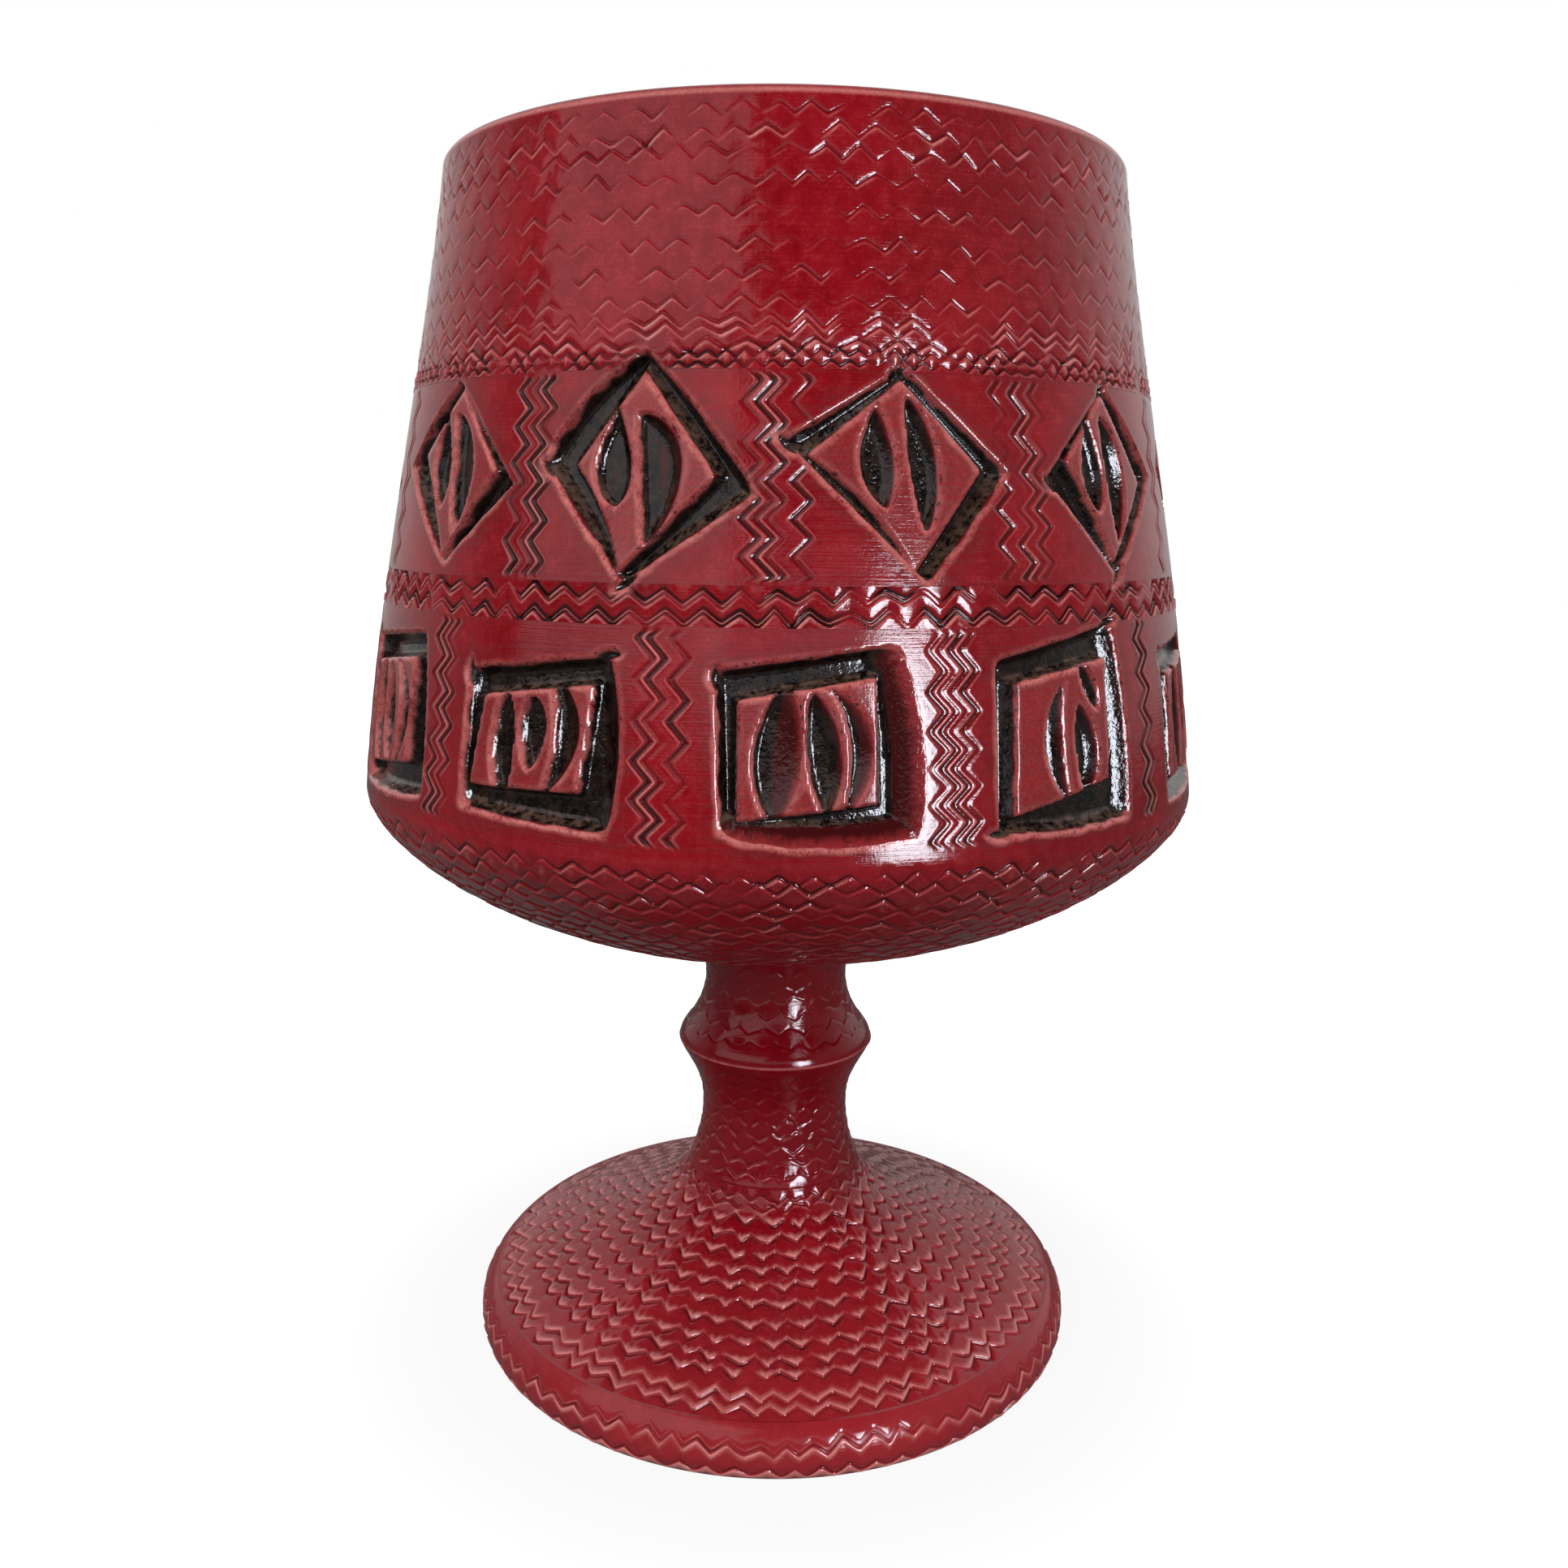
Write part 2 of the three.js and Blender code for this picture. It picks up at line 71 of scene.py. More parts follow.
def curve(start, end, firstHandle, secondHandle, steps=80):
    # Cubic curve between two (radius, height) points; a handle is its share of the way across and up
    a, d = np.array(start, float), np.array(end, float)
    b, c = a + (d - a) * firstHandle, a + (d - a) * secondHandle
    t = np.linspace(0, 1, steps + 1)[:, None]
    return a * (1 - t) ** 3 + 3 * b * t * (1 - t) ** 2 + 3 * c * t * t * (1 - t) + d * t ** 3


class Outline:
    # A turned outline as a fine polyline. A place on it is its length from the lower end.
    def __init__(self, *stretches):
        points = np.vstack([np.atleast_2d(np.array(part, float)) for part in stretches])
        step = np.hypot(*np.diff(points, axis=0).T)
        points = points[np.r_[True, step > 1e-6]]
        self.length = np.r_[0, np.cumsum(np.hypot(*np.diff(points, axis=0).T))]
        self.radius, self.height = points.T

    def at(self, along):
        return np.interp(along, self.length, self.radius), np.interp(along, self.length, self.height)

    def outward(self, along, reachOut=0.6):
        # Unit vector square to the outline, pointing away from the clay
        r0, z0 = self.at(along - reachOut)
        r1, z1 = self.at(along + reachOut)
        size = np.hypot(r1 - r0, z1 - z0)
        return (z1 - z0) / size, (r0 - r1) / size

    def atHeight(self, height):
        return float(np.interp(height, self.height, self.length))

    def atRadius(self, radius, part):
        # Where the outline has a radius, in a part of it that only grows wider
        return float(np.interp(radius, self.radius[part], self.length[part]))

    def inset(self, wall):
        # The same outline moved into the clay by the wall, which may change with height
        outR, outZ = self.outward(self.length)
        thickness = wall(self.height)
        return self.radius - outR * thickness, self.height - outZ * thickness


# Noise, the same at every run

def roundNoise(random, theta, count, slow, fast):
    # Sum of sines round the vase, with from slow to fast waves in a turn
    waves = np.arange(slow, fast + 1)[None, :, None]
    size = random.normal(size=(count, waves.size, 1))
    shift = random.uniform(0, fullTurn, (count, waves.size, 1))
    return (size * np.sin(waves * theta + shift)).sum(1) / math.sqrt(waves.size / 2)


def flatNoise(random, x, y, wave, count=14):
    # Sum of sines in random directions, each near the given wavelength
    total = np.zeros_like(x)
    for _ in range(count):
        turn, shift = random.uniform(0, fullTurn, 2)
        rate = fullTurn / (wave * random.uniform(0.7, 1.5))
        total += np.sin(rate * (x * math.cos(turn) + y * math.sin(turn)) + shift)
    return total / math.sqrt(count / 2)


def zigzag(x):
    # 1 at whole numbers and -1 half way between them, with straight flanks and slightly rounded tips
    return np.arcsin(0.985 * np.cos(fullTurn * x)) / math.asin(0.985)


def pointsAt(radius, turn, height):
    return np.stack([radius * np.sin(turn), -radius * np.cos(turn), height + 0 * turn], axis=-1)


def smooth(x):
    x = np.clip(x, 0, 1)
    return x * x * (3 - 2 * x)


# Stamped rows

seeds = dict(rows=4068, carving=51)
layers = ("along", "lift", "dark", "pale", "stain")
rowRoom = 1.8  # a stamped row keeps this far from the end of its piece
stamp = dict(
    cuts=(0.3, 0.65, 1.15),  # mesh lines beside the stamped line, as distances from it
    shares=(0.14, 0.26, 0.38),  # and at most these shares of the room to the next line
    step=0.95,
    # Cross section on the side where the stamp sloped in, and on the side where it left a lip
    slope=((0, 0.3, 0.65, 1.15, 2.4), (-1, -0.6, -0.36, -0.2, 0)),
    lip=((0, 0.3, 0.65, 1.15, 2.0), (-1, -0.25, 0.24, 0.12, 0)),
    # Dark and pale beside a line: glaze pooled in it and thin on the lip, and partly painted shade and a
    # painted highlight, with the sloped side darker and the lip and pads paler as if lit from above
    slopeDark=((0, 0.3, 0.65, 1.3), (1, 0.5, 0.15, 0)),
    lipDark=((0, 0.3, 0.5), (1, 0.25, 0)),
    lipPale=((0.2, 0.62, 1.15, 1.7), (0, 1, 0.4, 0)),
    slopePale=((0.4, 0.8, 1.3), (0, 0.1, 0)),
    pad=((0.15, 0.6, 1.5, 2.7), (0, 1, 0.9, 0)),
)


# A stamped zigzag line. A twin follows the wander of the row below it. The lip is below the line,
# or above it with lipUp. The line's darkness is pooled glaze and partly painted shade, stain is how
# much black wash stays in it, and pale is how pale its lip is, thin glaze and partly a painted highlight.
plainRow = dict(pitch=6.95, shift=0.0, rise=1.15, deep=0.5, ink=0.55, stain=0.0, pale=0.32, fill=0.0,
                pads=0.0, beads=0.0, twin=False, lipUp=False)


def row(at, **own):
    return dict({**plainRow, **own}, at=at)


def rowLines(rows, outline, theta, random, low, high):
    # Each line is its height, plus its zigzag, plus a slow wander; it never reaches the line below
    noise = [roundNoise(random, theta, len(rows), *span) for span in ((3, 9), (5, 24), (9, 40), (6, 60))]
    for k, r in enumerate(rows):
        if r["twin"] and k:
            for part in noise:
                part[k] = part[k - 1]
    tooth, line, strength = [], [], []
    for k, r in enumerate(rows):
        radius = float(outline.at(r["at"])[0])
        teeth = max(3, round(fullTurn * radius / r["pitch"]))
        wave = zigzag(teeth * theta / fullTurn + r["shift"] + 0.055 * noise[1][k])
        height = r["at"] + r["rise"] * (1 + 0.16 * noise[2][k]) * wave + 0.22 * noise[0][k]
        floor = line[-1] + 0.2 if line else low + 0.2
        line.append(np.clip(height, floor, high - 0.2 * (len(rows) - k)))
        tooth.append(wave)
        strength.append(np.clip(0.9 + 0.35 * noise[3][k], 0.15, 1.4))
    return np.array(line), np.array(tooth), np.array(strength)


def stampedZone(outline, theta, low, high, rows, random):
    # Mesh lines that follow the zigzags: each stamped line, three close by on both sides, and some between
    line, tooth, strength = rowLines(rows, outline, theta, random, low, high)
    line = np.vstack([np.full_like(theta, low), line, np.full_like(theta, high)])
    store = {name: [] for name in layers}
    cuts, shares = (np.array(stamp[name])[:, None] for name in ("cuts", "shares"))
    for k in range(len(line) - 1):
        under, over = line[k], line[k + 1]
        gap = over - under
        near = np.minimum(cuts, shares * gap)
        nearLow = near if k else near[:0]
        nearHigh = near[::-1] if k < len(rows) else near[:0]
        start = under + (nearLow[-1] if len(nearLow) else 0)
        stop = over - (nearHigh[0] if len(nearHigh) else 0)
        between = max(1, round(float((stop - start).mean()) / stamp["step"]))
        share = (np.arange(1, between + 1) / (between + 1))[:, None]
        place = np.vstack([under[None], under + nearLow, start + (stop - start) * share, over - nearHigh])
        height, darkness, paleness, stained = (np.zeros_like(place) for _ in range(4))
        for index, distance, isAbove in ((k - 1, place - under, True), (k, over - place, False)):
            if 0 <= index < len(rows):
                r, force = rows[index], strength[index]
                side = "lip" if isAbove == r["lipUp"] else "slope"
                height += np.interp(distance, *stamp[side]) * r["deep"] * force
                groove = np.interp(distance, *stamp[side + "Dark"]) * force
                # Flanks that rise to the right are painted a little paler: a painted highlight where they
                # catch more light
                flankHighlight = np.gradient(tooth[index]) * len(theta) / (fullTurn * 4)
                flankHighlight = 1 + 0.3 * np.clip(flankHighlight / np.abs(flankHighlight).max(), -1, 1)
                darkness += groove * r["ink"]
                paleness += np.interp(distance, *stamp[side + "Pale"]) * r["pale"] * force * flankHighlight
                stained += groove * r["stain"]
                if side == "lip" and r["fill"]:
                    paleness += r["fill"] * (distance > 0.4) * smooth(2.2 - distance / 1.4)
        # Raised pads in the valleys of the teeth, painted pale: thin glaze, and partly a painted highlight
        # on their tops
        if k and rows[k - 1]["pads"]:
            valley = smooth(0.25 - tooth[k - 1])
            pad = np.interp(place - under, *stamp["pad"]) * valley * rows[k - 1]["pads"]
            height += 0.5 * pad
            paleness += 0.75 * pad
        if k and rows[k - 1]["beads"]:
            spread = np.clip((gap - gap.mean()) / max(gap.max() - gap.mean(), 0.1), 0, 1) ** 1.5
            bead = spread * np.sin(np.pi * (place - under) / gap) ** 3 * rows[k - 1]["beads"]
            height += 0.3 * bead
            paleness += 0.9 * bead
        for name, values in zip(layers, (place, height, darkness, paleness, stained)):
            store[name].append(values)
    for name in layers:
        store[name].append(line[-1:] if name == "along" else 0 * line[-1:])
    zone = {name: np.vstack(store[name]) for name in layers}
    return dict(zone, turn=zone["along"] * 0 + theta)


# Carved bands

uncut = -6.0  # distance to the carving where there is none near
bands = dict(
    lozengeHeight=228.0,
    squareHeight=176.0,
    lozengeAngles=(-47.6, -16.6, 14.5, 47.2, 80, 112.6, 145.3, 178, 210.8, 243.4, 277.2),
    squareAngles=(-59.5, -29.3, 3.5, 35.3, 67.5, 100, 132.6, 165.4, 198, 231, 265.5),
    postPitch=7.5,
    postRise=1.7,
    postDeep=0.45,
    postSpacing=2.3,
    # Lines of the posts that follow each panel, as distances from the middle of the post
    lozengePosts={0: (-3.6, 0.4, 3.0), 1: (-4.2, -1.8, 0.6, 5.6), 2: (-5.4, -0.6, 1.8, 4.2)},
    squarePosts={0: (-2.4, 0.2, 2.6), 1: (-3.6, -1.0, 3.4), 2: (-3.2, -0.8, 1.6, 4.0)},
)


def gouge(top, bottom, bulges, slopes, low, round, deep=2.4):
    # A leaf-shaped cut: its ends, how far it bulges left and right, and how wide each of its slopes is.
    # Low above 1 moves its widest place down, and a smaller round makes its ends blunter.
    return dict(top=top, bottom=bottom, bulges=bulges, slopes=slopes, low=low, round=round, deep=deep)


# Corners of the outer and inner edges of a panel's channel, clockwise: left, top, right, bottom.
# A bulge moves the middle of a side outwards, and slopes are the widths of the walls along the sides.
# A wall's bend is above 1 where it falls away at the edge, and below 1 where a shelf ends in a groove.
lozenge = dict(
    outer=((-21.8, 2.0), (-0.5, 20.4), (21.8, -1.6), (0.6, -20.3)),
    inner=((-14.2, 2.6), (0.0, 17.2), (14.6, -0.8), (-0.3, -17.8)),
    bulges=(0.6, 0.4, 0.2, 0.2),
    innerBulges=(0, 0, 0, -0.8),
    slopes=(1.4, 1.4, 3.0, 2.8),
    innerSlopes=(2.8, 2.6, 1.2, 1.3),
    bends=(1.7, 1.7, 1.7, 1.7),
    rounding=0.5,
    deep=3.3,
    gouges=(gouge((-5.6, 12.5), (-4.4, -7.1), (4.6, 3.2), (1.4, 2.4), 1.4, 0.65),
            gouge((-0.8, 12.0), (2.4, -13.2), (0.8, 7.0), (0.9, 3.0), 0.85, 0.6)),
)
# Top left, top right, bottom right, bottom left
square = dict(
    outer=((-18.4, 14.0), (16.6, 19.0), (21.4, -18.0), (-18.4, -18.4)),
    inner=((-13.4, 8.8), (13.0, 12.8), (13.0, -11.2), (-14.4, -13.8)),
    bulges=(0, 1.6, 0.8, 0.2),
    innerBulges=(0, 0, 0, 0),
    slopes=(2.0, 4.6, 2.6, 1.6),
    innerSlopes=(1.6, 1.0, 1.0, 2.4),
    bends=(1.7, 1.7, 1.7, 1.7),
    rounding=1.1,
    deep=3.3,
    gouges=(gouge((-6.0, 11.0), (-7.0, -14.6), (4.6, 3.2), (0.9, 3.6), 1.0, 0.6),
            gouge((0.2, 10.0), (1.8, -12.8), (2.6, 4.2), (0.9, 2.8), 1.0, 0.6),
            gouge((3.0, 11.0), (4.8, -13.8), (-3.8, 9.0), (0.8, 5.0), 0.85, 0.6)),
)
# What the panels that the photo shows have of their own
seenLozenges = {
    0: dict(outer=((-24.0, 1.2), (-1.5, 18.6), (20.8, -3.1), (0.4, -19.3))),
    1: dict(outer=((-22.3, 1.3), (-0.6, 22.7), (22.7, -4.6), (-2.8, -22.0)),
            inner=((-14.3, 0.6), (-0.6, 18.2), (14.5, -1.5), (-3.9, -19.7)),
            bulges=(2.2, 0.8, 0, 0),
            innerBulges=(0, 0, 0, -1.4),
            gouges=(gouge((-5.8, 12.5), (-5.4, -7.2), (5.0, 3.4), (1.6, 2.2), 1.6, 0.6),
                    gouge((-1.6, 10.6), (0.8, -14.4), (0.3, 9.0), (0.9, 3.8), 0.75, 0.6))),
    2: dict(outer=((-23.3, 5.6), (0.6, 19.4), (22.8, 0.1), (4.4, -21.5)),
            inner=((-18.5, 2.8), (0.1, 17.0), (16.6, 0.4), (1.7, -19.1)),
            bulges=(0, 0, 0.4, 0),
            innerBulges=(0, 0, 0, -1.8),
            gouges=(gouge((-5.0, 12.4), (-3.4, -7.0), (4.6, 2.6), (1.2, 3.0), 1.2, 0.65),
                    gouge((1.0, 14.2), (4.4, -11.4), (1.4, 4.6), (0.9, 2.4), 1.0, 0.55))),
    3: dict(outer=((-20.5, -0.7), (1.7, 18.6), (22.6, 0.6), (0.1, -20.6))),
}
seenSquares = {
    1: dict(outer=((-17.5, 12.1), (18.0, 16.5), (19.6, -18.7), (-18.6, -17.0)),
            inner=((-12.3, 6.9), (14.4, 10.3), (12.3, -10.8), (-15.7, -11.7)),
            bulges=(0, 2.5, 0, 0),
            gouges=(gouge((-6.0, 7.6), (-6.6, -13.5), (3.6, 2.8), (0.9, 1.4), 1.0, 0.45),
                    gouge((0.6, 7.4), (0.3, -7.2), (2.9, 3.9), (0.9, 1.8), 0.8, 0.6),
                    gouge((2.0, 14.5), (2.6, -13.2), (-4.0, 10.2), (0.9, 4.0), 0.95, 0.7))),
    2: dict(outer=((-18.6, 14.3), (17.5, 19.5), (22.6, -17.6), (-17.8, -17.6)),
            inner=((-13.9, 8.6), (12.6, 12.9), (13.2, -11.0), (-14.1, -14.3)),
            bulges=(0, 2.5, 2.2, 0),
            slopes=(1.6, 7.0, 5.0, 1.6),
            innerSlopes=(1.6, 0.9, 0.9, 2.0),
            bends=(1.7, 0.4, 0.4, 1.7),
            gouges=(gouge((-4.4, 11.6), (-7.0, -15.2), (5.6, 4.3), (0.9, 6.5), 1.0, 0.6),
                    gouge((0.4, 10.6), (3.2, -13.4), (2.6, 4.6), (0.9, 3.5), 1.0, 0.6),
                    gouge((3.0, 10.6), (5.2, -14.2), (-3.8, 8.6), (0.8, 6.5), 0.85, 0.6))),
    3: dict(outer=((-17.6, 16.0), (16.2, 22.4), (20.2, -19.0), (-19.0, -18.5)),
            inner=((-13.0, 11.0), (13.0, 14.8), (12.6, -10.0), (-14.8, -15.2)),
            gouges=(gouge((0.0, 10.5), (0.6, -13.6), (6.5, -1.5), (0.9, 3.6), 1.0, 0.6),
                    gouge((3.6, 6.2), (5.4, -13.2), (2.2, 5.0), (0.9, 3.4), 1.0, 0.6),
                    gouge((4.6, 14.0), (9.6, 4.6), (1.5, 2.4), (0.8, 1.4), 1.0, 0.6))),
}
stray = dict(outer=0.9, inner=0.54, gouge=0.5, stride=5)


def sway(index, corner):
    # A hidden panel's corners and gouges stray by sines of its number
    return np.array((math.sin(2.1 * index + 1.3 * corner), math.cos(1.7 * index + 2.9 * corner)))


def panelOf(kind, own, index):
    panel = {**kind, **own}
    for name in ("outer", "inner"):
        amount = 0 if name in own else stray[name]
        panel[name] = np.array([corner + sway(index, k) * amount for k, corner in enumerate(panel[name])])
    if "gouges" not in own:
        panel["gouges"] = []
        for k, cut in enumerate(kind["gouges"]):
            top, bottom = (sway(index + stray["stride"] * k, end) * stray["gouge"] for end in (0, 1))
            panel["gouges"].append(dict(cut, top=cut["top"] + top, bottom=cut["bottom"] + bottom))
    return panel


def insideSides(x, y, corners, bulges):
    # How far a point lies inside each side. A bulge is a parabola on the straight side.
    distances = []
    for k in range(4):
        start, end = corners[k], corners[(k + 1) % 4]
        length = np.linalg.norm(end - start)
        side = (end - start) / length
        share = ((x - start[0]) * side[0] + (y - start[1]) * side[1]) / length
        distance = (x - start[0]) * side[1] - (y - start[1]) * side[0]
        distances.append(distance + 4 * bulges[k] * np.clip(share * (1 - share), 0, 0.25))
    return np.array(distances)


def softLeast(distances, rounding):
    # The least of several distances, rounded where two are alike
    return -rounding * np.log(np.exp(-np.clip(distances / rounding, -60, 60)).sum(0))


def insideLeaf(x, y, cut):
    # How far a point lies inside a gouge, and its place between the edge (0) and the deepest line (1).
    # Each edge is a power of a half wave of a sine, measured from the straight line between the ends.
    top, bottom = np.array(cut["top"]), np.array(cut["bottom"])
    length = np.linalg.norm(bottom - top)
    down = (bottom - top) / length
    share = ((x - top[0]) * down[0] + (y - top[1]) * down[1]) / length
    across = -(x - top[0]) * down[1] + (y - top[1]) * down[0]
    held = np.clip(share, 0, 1)
    beyond = np.maximum(-share, share - 1).clip(0) * length
    wave = np.sin(np.pi * held ** cut["low"]).clip(0) ** cut["round"]
    leftRoom = across + cut["bulges"][0] * wave - beyond
    rightRoom = cut["bulges"][1] * wave - across - beyond
    slope = np.minimum(leftRoom / cut["slopes"][0], rightRoom / cut["slopes"][1])
    return np.minimum(leftRoom, rightRoom) * 0.9, slope


def hollow(share, bend=1.7):
    # How deep a cut is at a share of its wall's reach
    return 1 - (1 - np.clip(share, 0, 1)) ** bend


def carving(turn, height, radius):
    # Depth of the carving, the signed distance to its edge, and the raised blocks inside the channels
    depth, block = np.zeros_like(turn), np.zeros_like(turn)
    edge = np.full_like(turn, uncut)
    for kind, name, seen in ((lozenge, "lozenge", seenLozenges), (square, "square", seenSquares)):
        for index, angle in enumerate(bands[name + "Angles"]):
            random = np.random.default_rng((seeds["carving"], index, len(name)))
            marks = random.uniform(size=8)
            panel = panelOf(kind, seen.get(index, {}), index)
            outer = panel["outer"]
            offset = (turn - math.radians(angle) + math.pi) % fullTurn - math.pi
            x, y = offset * radius, height - bands[name + "Height"]
            near = (np.abs(x) < 29) & (np.abs(y) < 27)
            if not near.any():
                continue
            x, y = x[near], y[near]
            wobble = 0.14 * flatNoise(random, x, y, 7.0) + 0.05 * flatNoise(random, x, y, 2.2)
            rough = flatNoise(random, x, y, 1.7)
            outerSides = insideSides(x, y, outer, panel["bulges"])
            innerSides = insideSides(x, y, panel["inner"], panel["innerBulges"])
            outside = softLeast(outerSides, panel["rounding"]) + wobble
            raised = softLeast(innerSides, 0.5) + 0.7 * wobble
            channel = np.minimum(outside, -raised)
            walls = [hollow(sides / slope, bend) for sides, slope, bend in
                     zip(outerSides, panel["slopes"], panel["bends"])]
            walls.append(hollow((-innerSides / np.array(panel["innerSlopes"])[:, None]).max(0)))
            deep = panel["deep"] * np.min(walls, axis=0) * (channel > -0.3)
            toCorner = np.min([np.hypot(x - c[0], y - c[1]) for c in outer], axis=0)
            cornerRough = np.exp(-(toCorner / 3.0) ** 2) * (0.3 + marks[0])
            for cut in panel["gouges"]:
                leaf, share = insideLeaf(x, y, cut)
                leaf = leaf + 0.6 * wobble
                deep = np.maximum(deep, cut["deep"] * hollow(share) * (leaf > 0))
                channel = np.maximum(channel, leaf)
            # The tool runs on a little past a corner
            for corner, mark in ((0, 1), (1, 2), (3, 3)):
                if marks[mark] > 0.45:
                    start, end = outer[(corner + 3) % 4], outer[corner]
                    along = (end - start) / np.linalg.norm(end - start)
                    reachOut = 0.8 + 2.2 * marks[mark + 3]
                    ends = end - along * 4, end + along * reachOut
                    nick, share = insideLeaf(x, y, gouge(*ends, (1.1, 1.1), (1.0, 1.0), 1.0, 0.8))
                    deep = np.maximum(deep, 1.6 * hollow(share) * (nick > 0))
                    channel = np.maximum(channel, nick)
            deep = np.maximum(deep + cornerRough * 0.4 * rough * smooth(channel / 0.6), 0)
            burr = 0.14 * np.exp(-((channel + 0.4) / 0.32) ** 2)
            depth[near] = np.where(channel > edge[near], np.maximum(depth[near], deep - burr), depth[near])
            edge[near] = np.maximum(edge[near], channel)
            block[near] = np.maximum(block[near], smooth(raised / 0.8))
    return depth, edge, block


def posts(outline, zone, name, random):
    # Upright zigzag lines between the panels. Mesh columns are bent along them, so each line is a column.
    angles, seen = bands[name + "Angles"], bands[name + "Posts"]
    columns = zone["turn"].shape[1]
    number = np.arange(columns)
    radius, height = outline.at(zone["along"])
    top, bottom = height.max(), height.min()
    column = fullTurn * radius.mean() / columns
    fade = smooth((height - bottom - 0.3) / 1.2) * smooth((top - height - 0.3) / 1.2)
    shiftBy = np.zeros_like(zone["turn"])
    for index, angle in enumerate(angles):
        after = angles[(index + 1) % len(angles)] + (360 if index == len(angles) - 1 else 0)
        centre = int(round(((angle + after) / 2 + 180) / 360 * columns)) % columns
        count = int(random.choice((2, 3, 3, 4)))
        phase, wander, strength = random.uniform(size=3)
        places = seen.get(index, [bands["postSpacing"] * (k - (count - 1) / 2) for k in range(count)])
        lines = [round(place / column) for place in places]
        offset = (number - centre + columns // 2) % columns - columns // 2
        apart = np.maximum(lines[0] - 2 - offset, offset - lines[-1] - 2).clip(0)
        bend = (1 - apart / 5).clip(0)
        wave = zigzag(height / bands["postPitch"] + phase + 0.08 * np.sin(height / 9 + 9 * wander))
        shiftBy += bend * wave * bands["postRise"] * fade / radius
        wash = np.exp(-(np.maximum(apart - 1, 0) / 3.0) ** 2) * fade
        zone["stain"] += 0.28 * wash * (0.5 + 0.8 * strength)
        for k, line in enumerate(lines):
            force = np.clip(0.85 + 0.45 * np.sin(height / 5 + 20 * wander + 2 * k), 0.25, 1.25)
            force = force * fade * (0.6 + 0.5 * strength)
            distance = np.abs(offset - line)
            cases = [distance == 0, distance == 1, distance == 2]
            # Dark in the grooves and pale on the ridges between them; the pale is thin glaze and partly a
            # painted highlight
            zone["lift"] += force * bands["postDeep"] * np.select(cases, [-1.0, -0.5, 0.16], 0)
            zone["dark"] += force * np.select(cases, [1.0, 0.45, 0], 0)
            zone["pale"] += force * np.select(cases, [0, 0.05, 0.65], 0)
            zone["stain"] += force * np.select(cases, [0.6, 0.25, 0], 0)
    zone["turn"] = zone["turn"] + shiftBy


def plainZone(theta, low, high, count):
    along = np.linspace(low, high, count)[:, None] + 0 * theta
    zone = {name: np.zeros_like(along) for name in layers[1:]}
    # Black wash is left beside the borders, and the glaze is thin there
    toBorder = np.minimum(along - low, high - along)
    zone["stain"] += 0.35 * np.exp(-toBorder / 1.8)
    zone["pale"] += 0.22 * np.exp(-toBorder / 3.5)
    return dict(zone, along=along, turn=along * 0 + theta)


# Meshes

def linked(name, data):
    made = bpy.data.objects.new(name, data)
    bpy.context.scene.collection.objects.link(made)
    return made


class Rings:
    # Rings of points round the axis, from the lower outside up and over to the inside
    def __init__(self):
        self.points, self.marks, self.carved, self.sharp = [], [], [], []

    def add(self, points, marks=None, carved=None, sharp=False):
        count = len(points)
        self.points.append(points * metres)
        self.marks.append(np.zeros((count, 3)) if marks is None else marks)
        self.carved.append(np.tile((uncut, 0, 0), (count, 1)) if carved is None else carved)
        self.sharp.append(sharp)

    def plain(self, radius, height, columns, sharp=False, pale=0.0):
        # A true circle, or the pole when its radius is nothing
        if radius < 1e-6:
            self.add(np.array([[0, 0, height]], float), sharp=sharp)
            return
        circle = pointsAt(radius, angles(columns), height)
        self.add(circle, marks=np.tile((0, pale, 0), (columns, 1)), sharp=sharp)

    def section(self, points, columns):
        for radius, height in points:
            self.plain(radius, height, columns, sharp=True)


def angles(columns):
    return np.arange(columns) / columns * fullTurn - math.pi


def zoneRings(rings, outline, zone, carved=False):
    # Each point of a zone is its place on the outline, moved outwards by its lift, inwards by the carving
    radius, height = outline.at(zone["along"])
    outR, outZ = outline.outward(zone["along"])
    lift, edge = zone["lift"], np.full_like(radius, uncut)
    depth = rim = np.zeros_like(radius)
    marks = [zone["dark"], zone["pale"], zone["stain"]]
    if carved:
        depth, edge, block = carving(zone["turn"], height, radius)
        clear = 1 - smooth((edge + 0.2) / 0.5)
        lift = lift * clear - depth
        marks = [marks[0] * clear, (marks[1] + 0.3 * block) * clear, marks[2] * clear]
        # Edges are pale where the cut begins above them or to their right, where the wall faces up and to
        # the
        # right: thin glaze there is brightened by a painted highlight
        upward = np.gradient(edge, axis=0) / np.gradient(height, axis=0)
        across = np.gradient(edge, axis=1) / (np.gradient(zone["turn"], axis=1) * radius)
        rim = smooth(0.3 + 0.6 * np.clip(upward, -1, 1) + 0.35 * np.clip(across, -1, 1))
    radius = radius + outR * lift
    height = np.maximum(height + outZ * lift, 0)
    points = pointsAt(radius, zone["turn"], height)
    marks = np.stack(marks, axis=-1)
    cuts = np.stack([edge, depth, rim], axis=-1)
    for k in range(len(points)):
        rings.add(points[k], marks[k], cuts[k], sharp=k in (0, len(points) - 1))


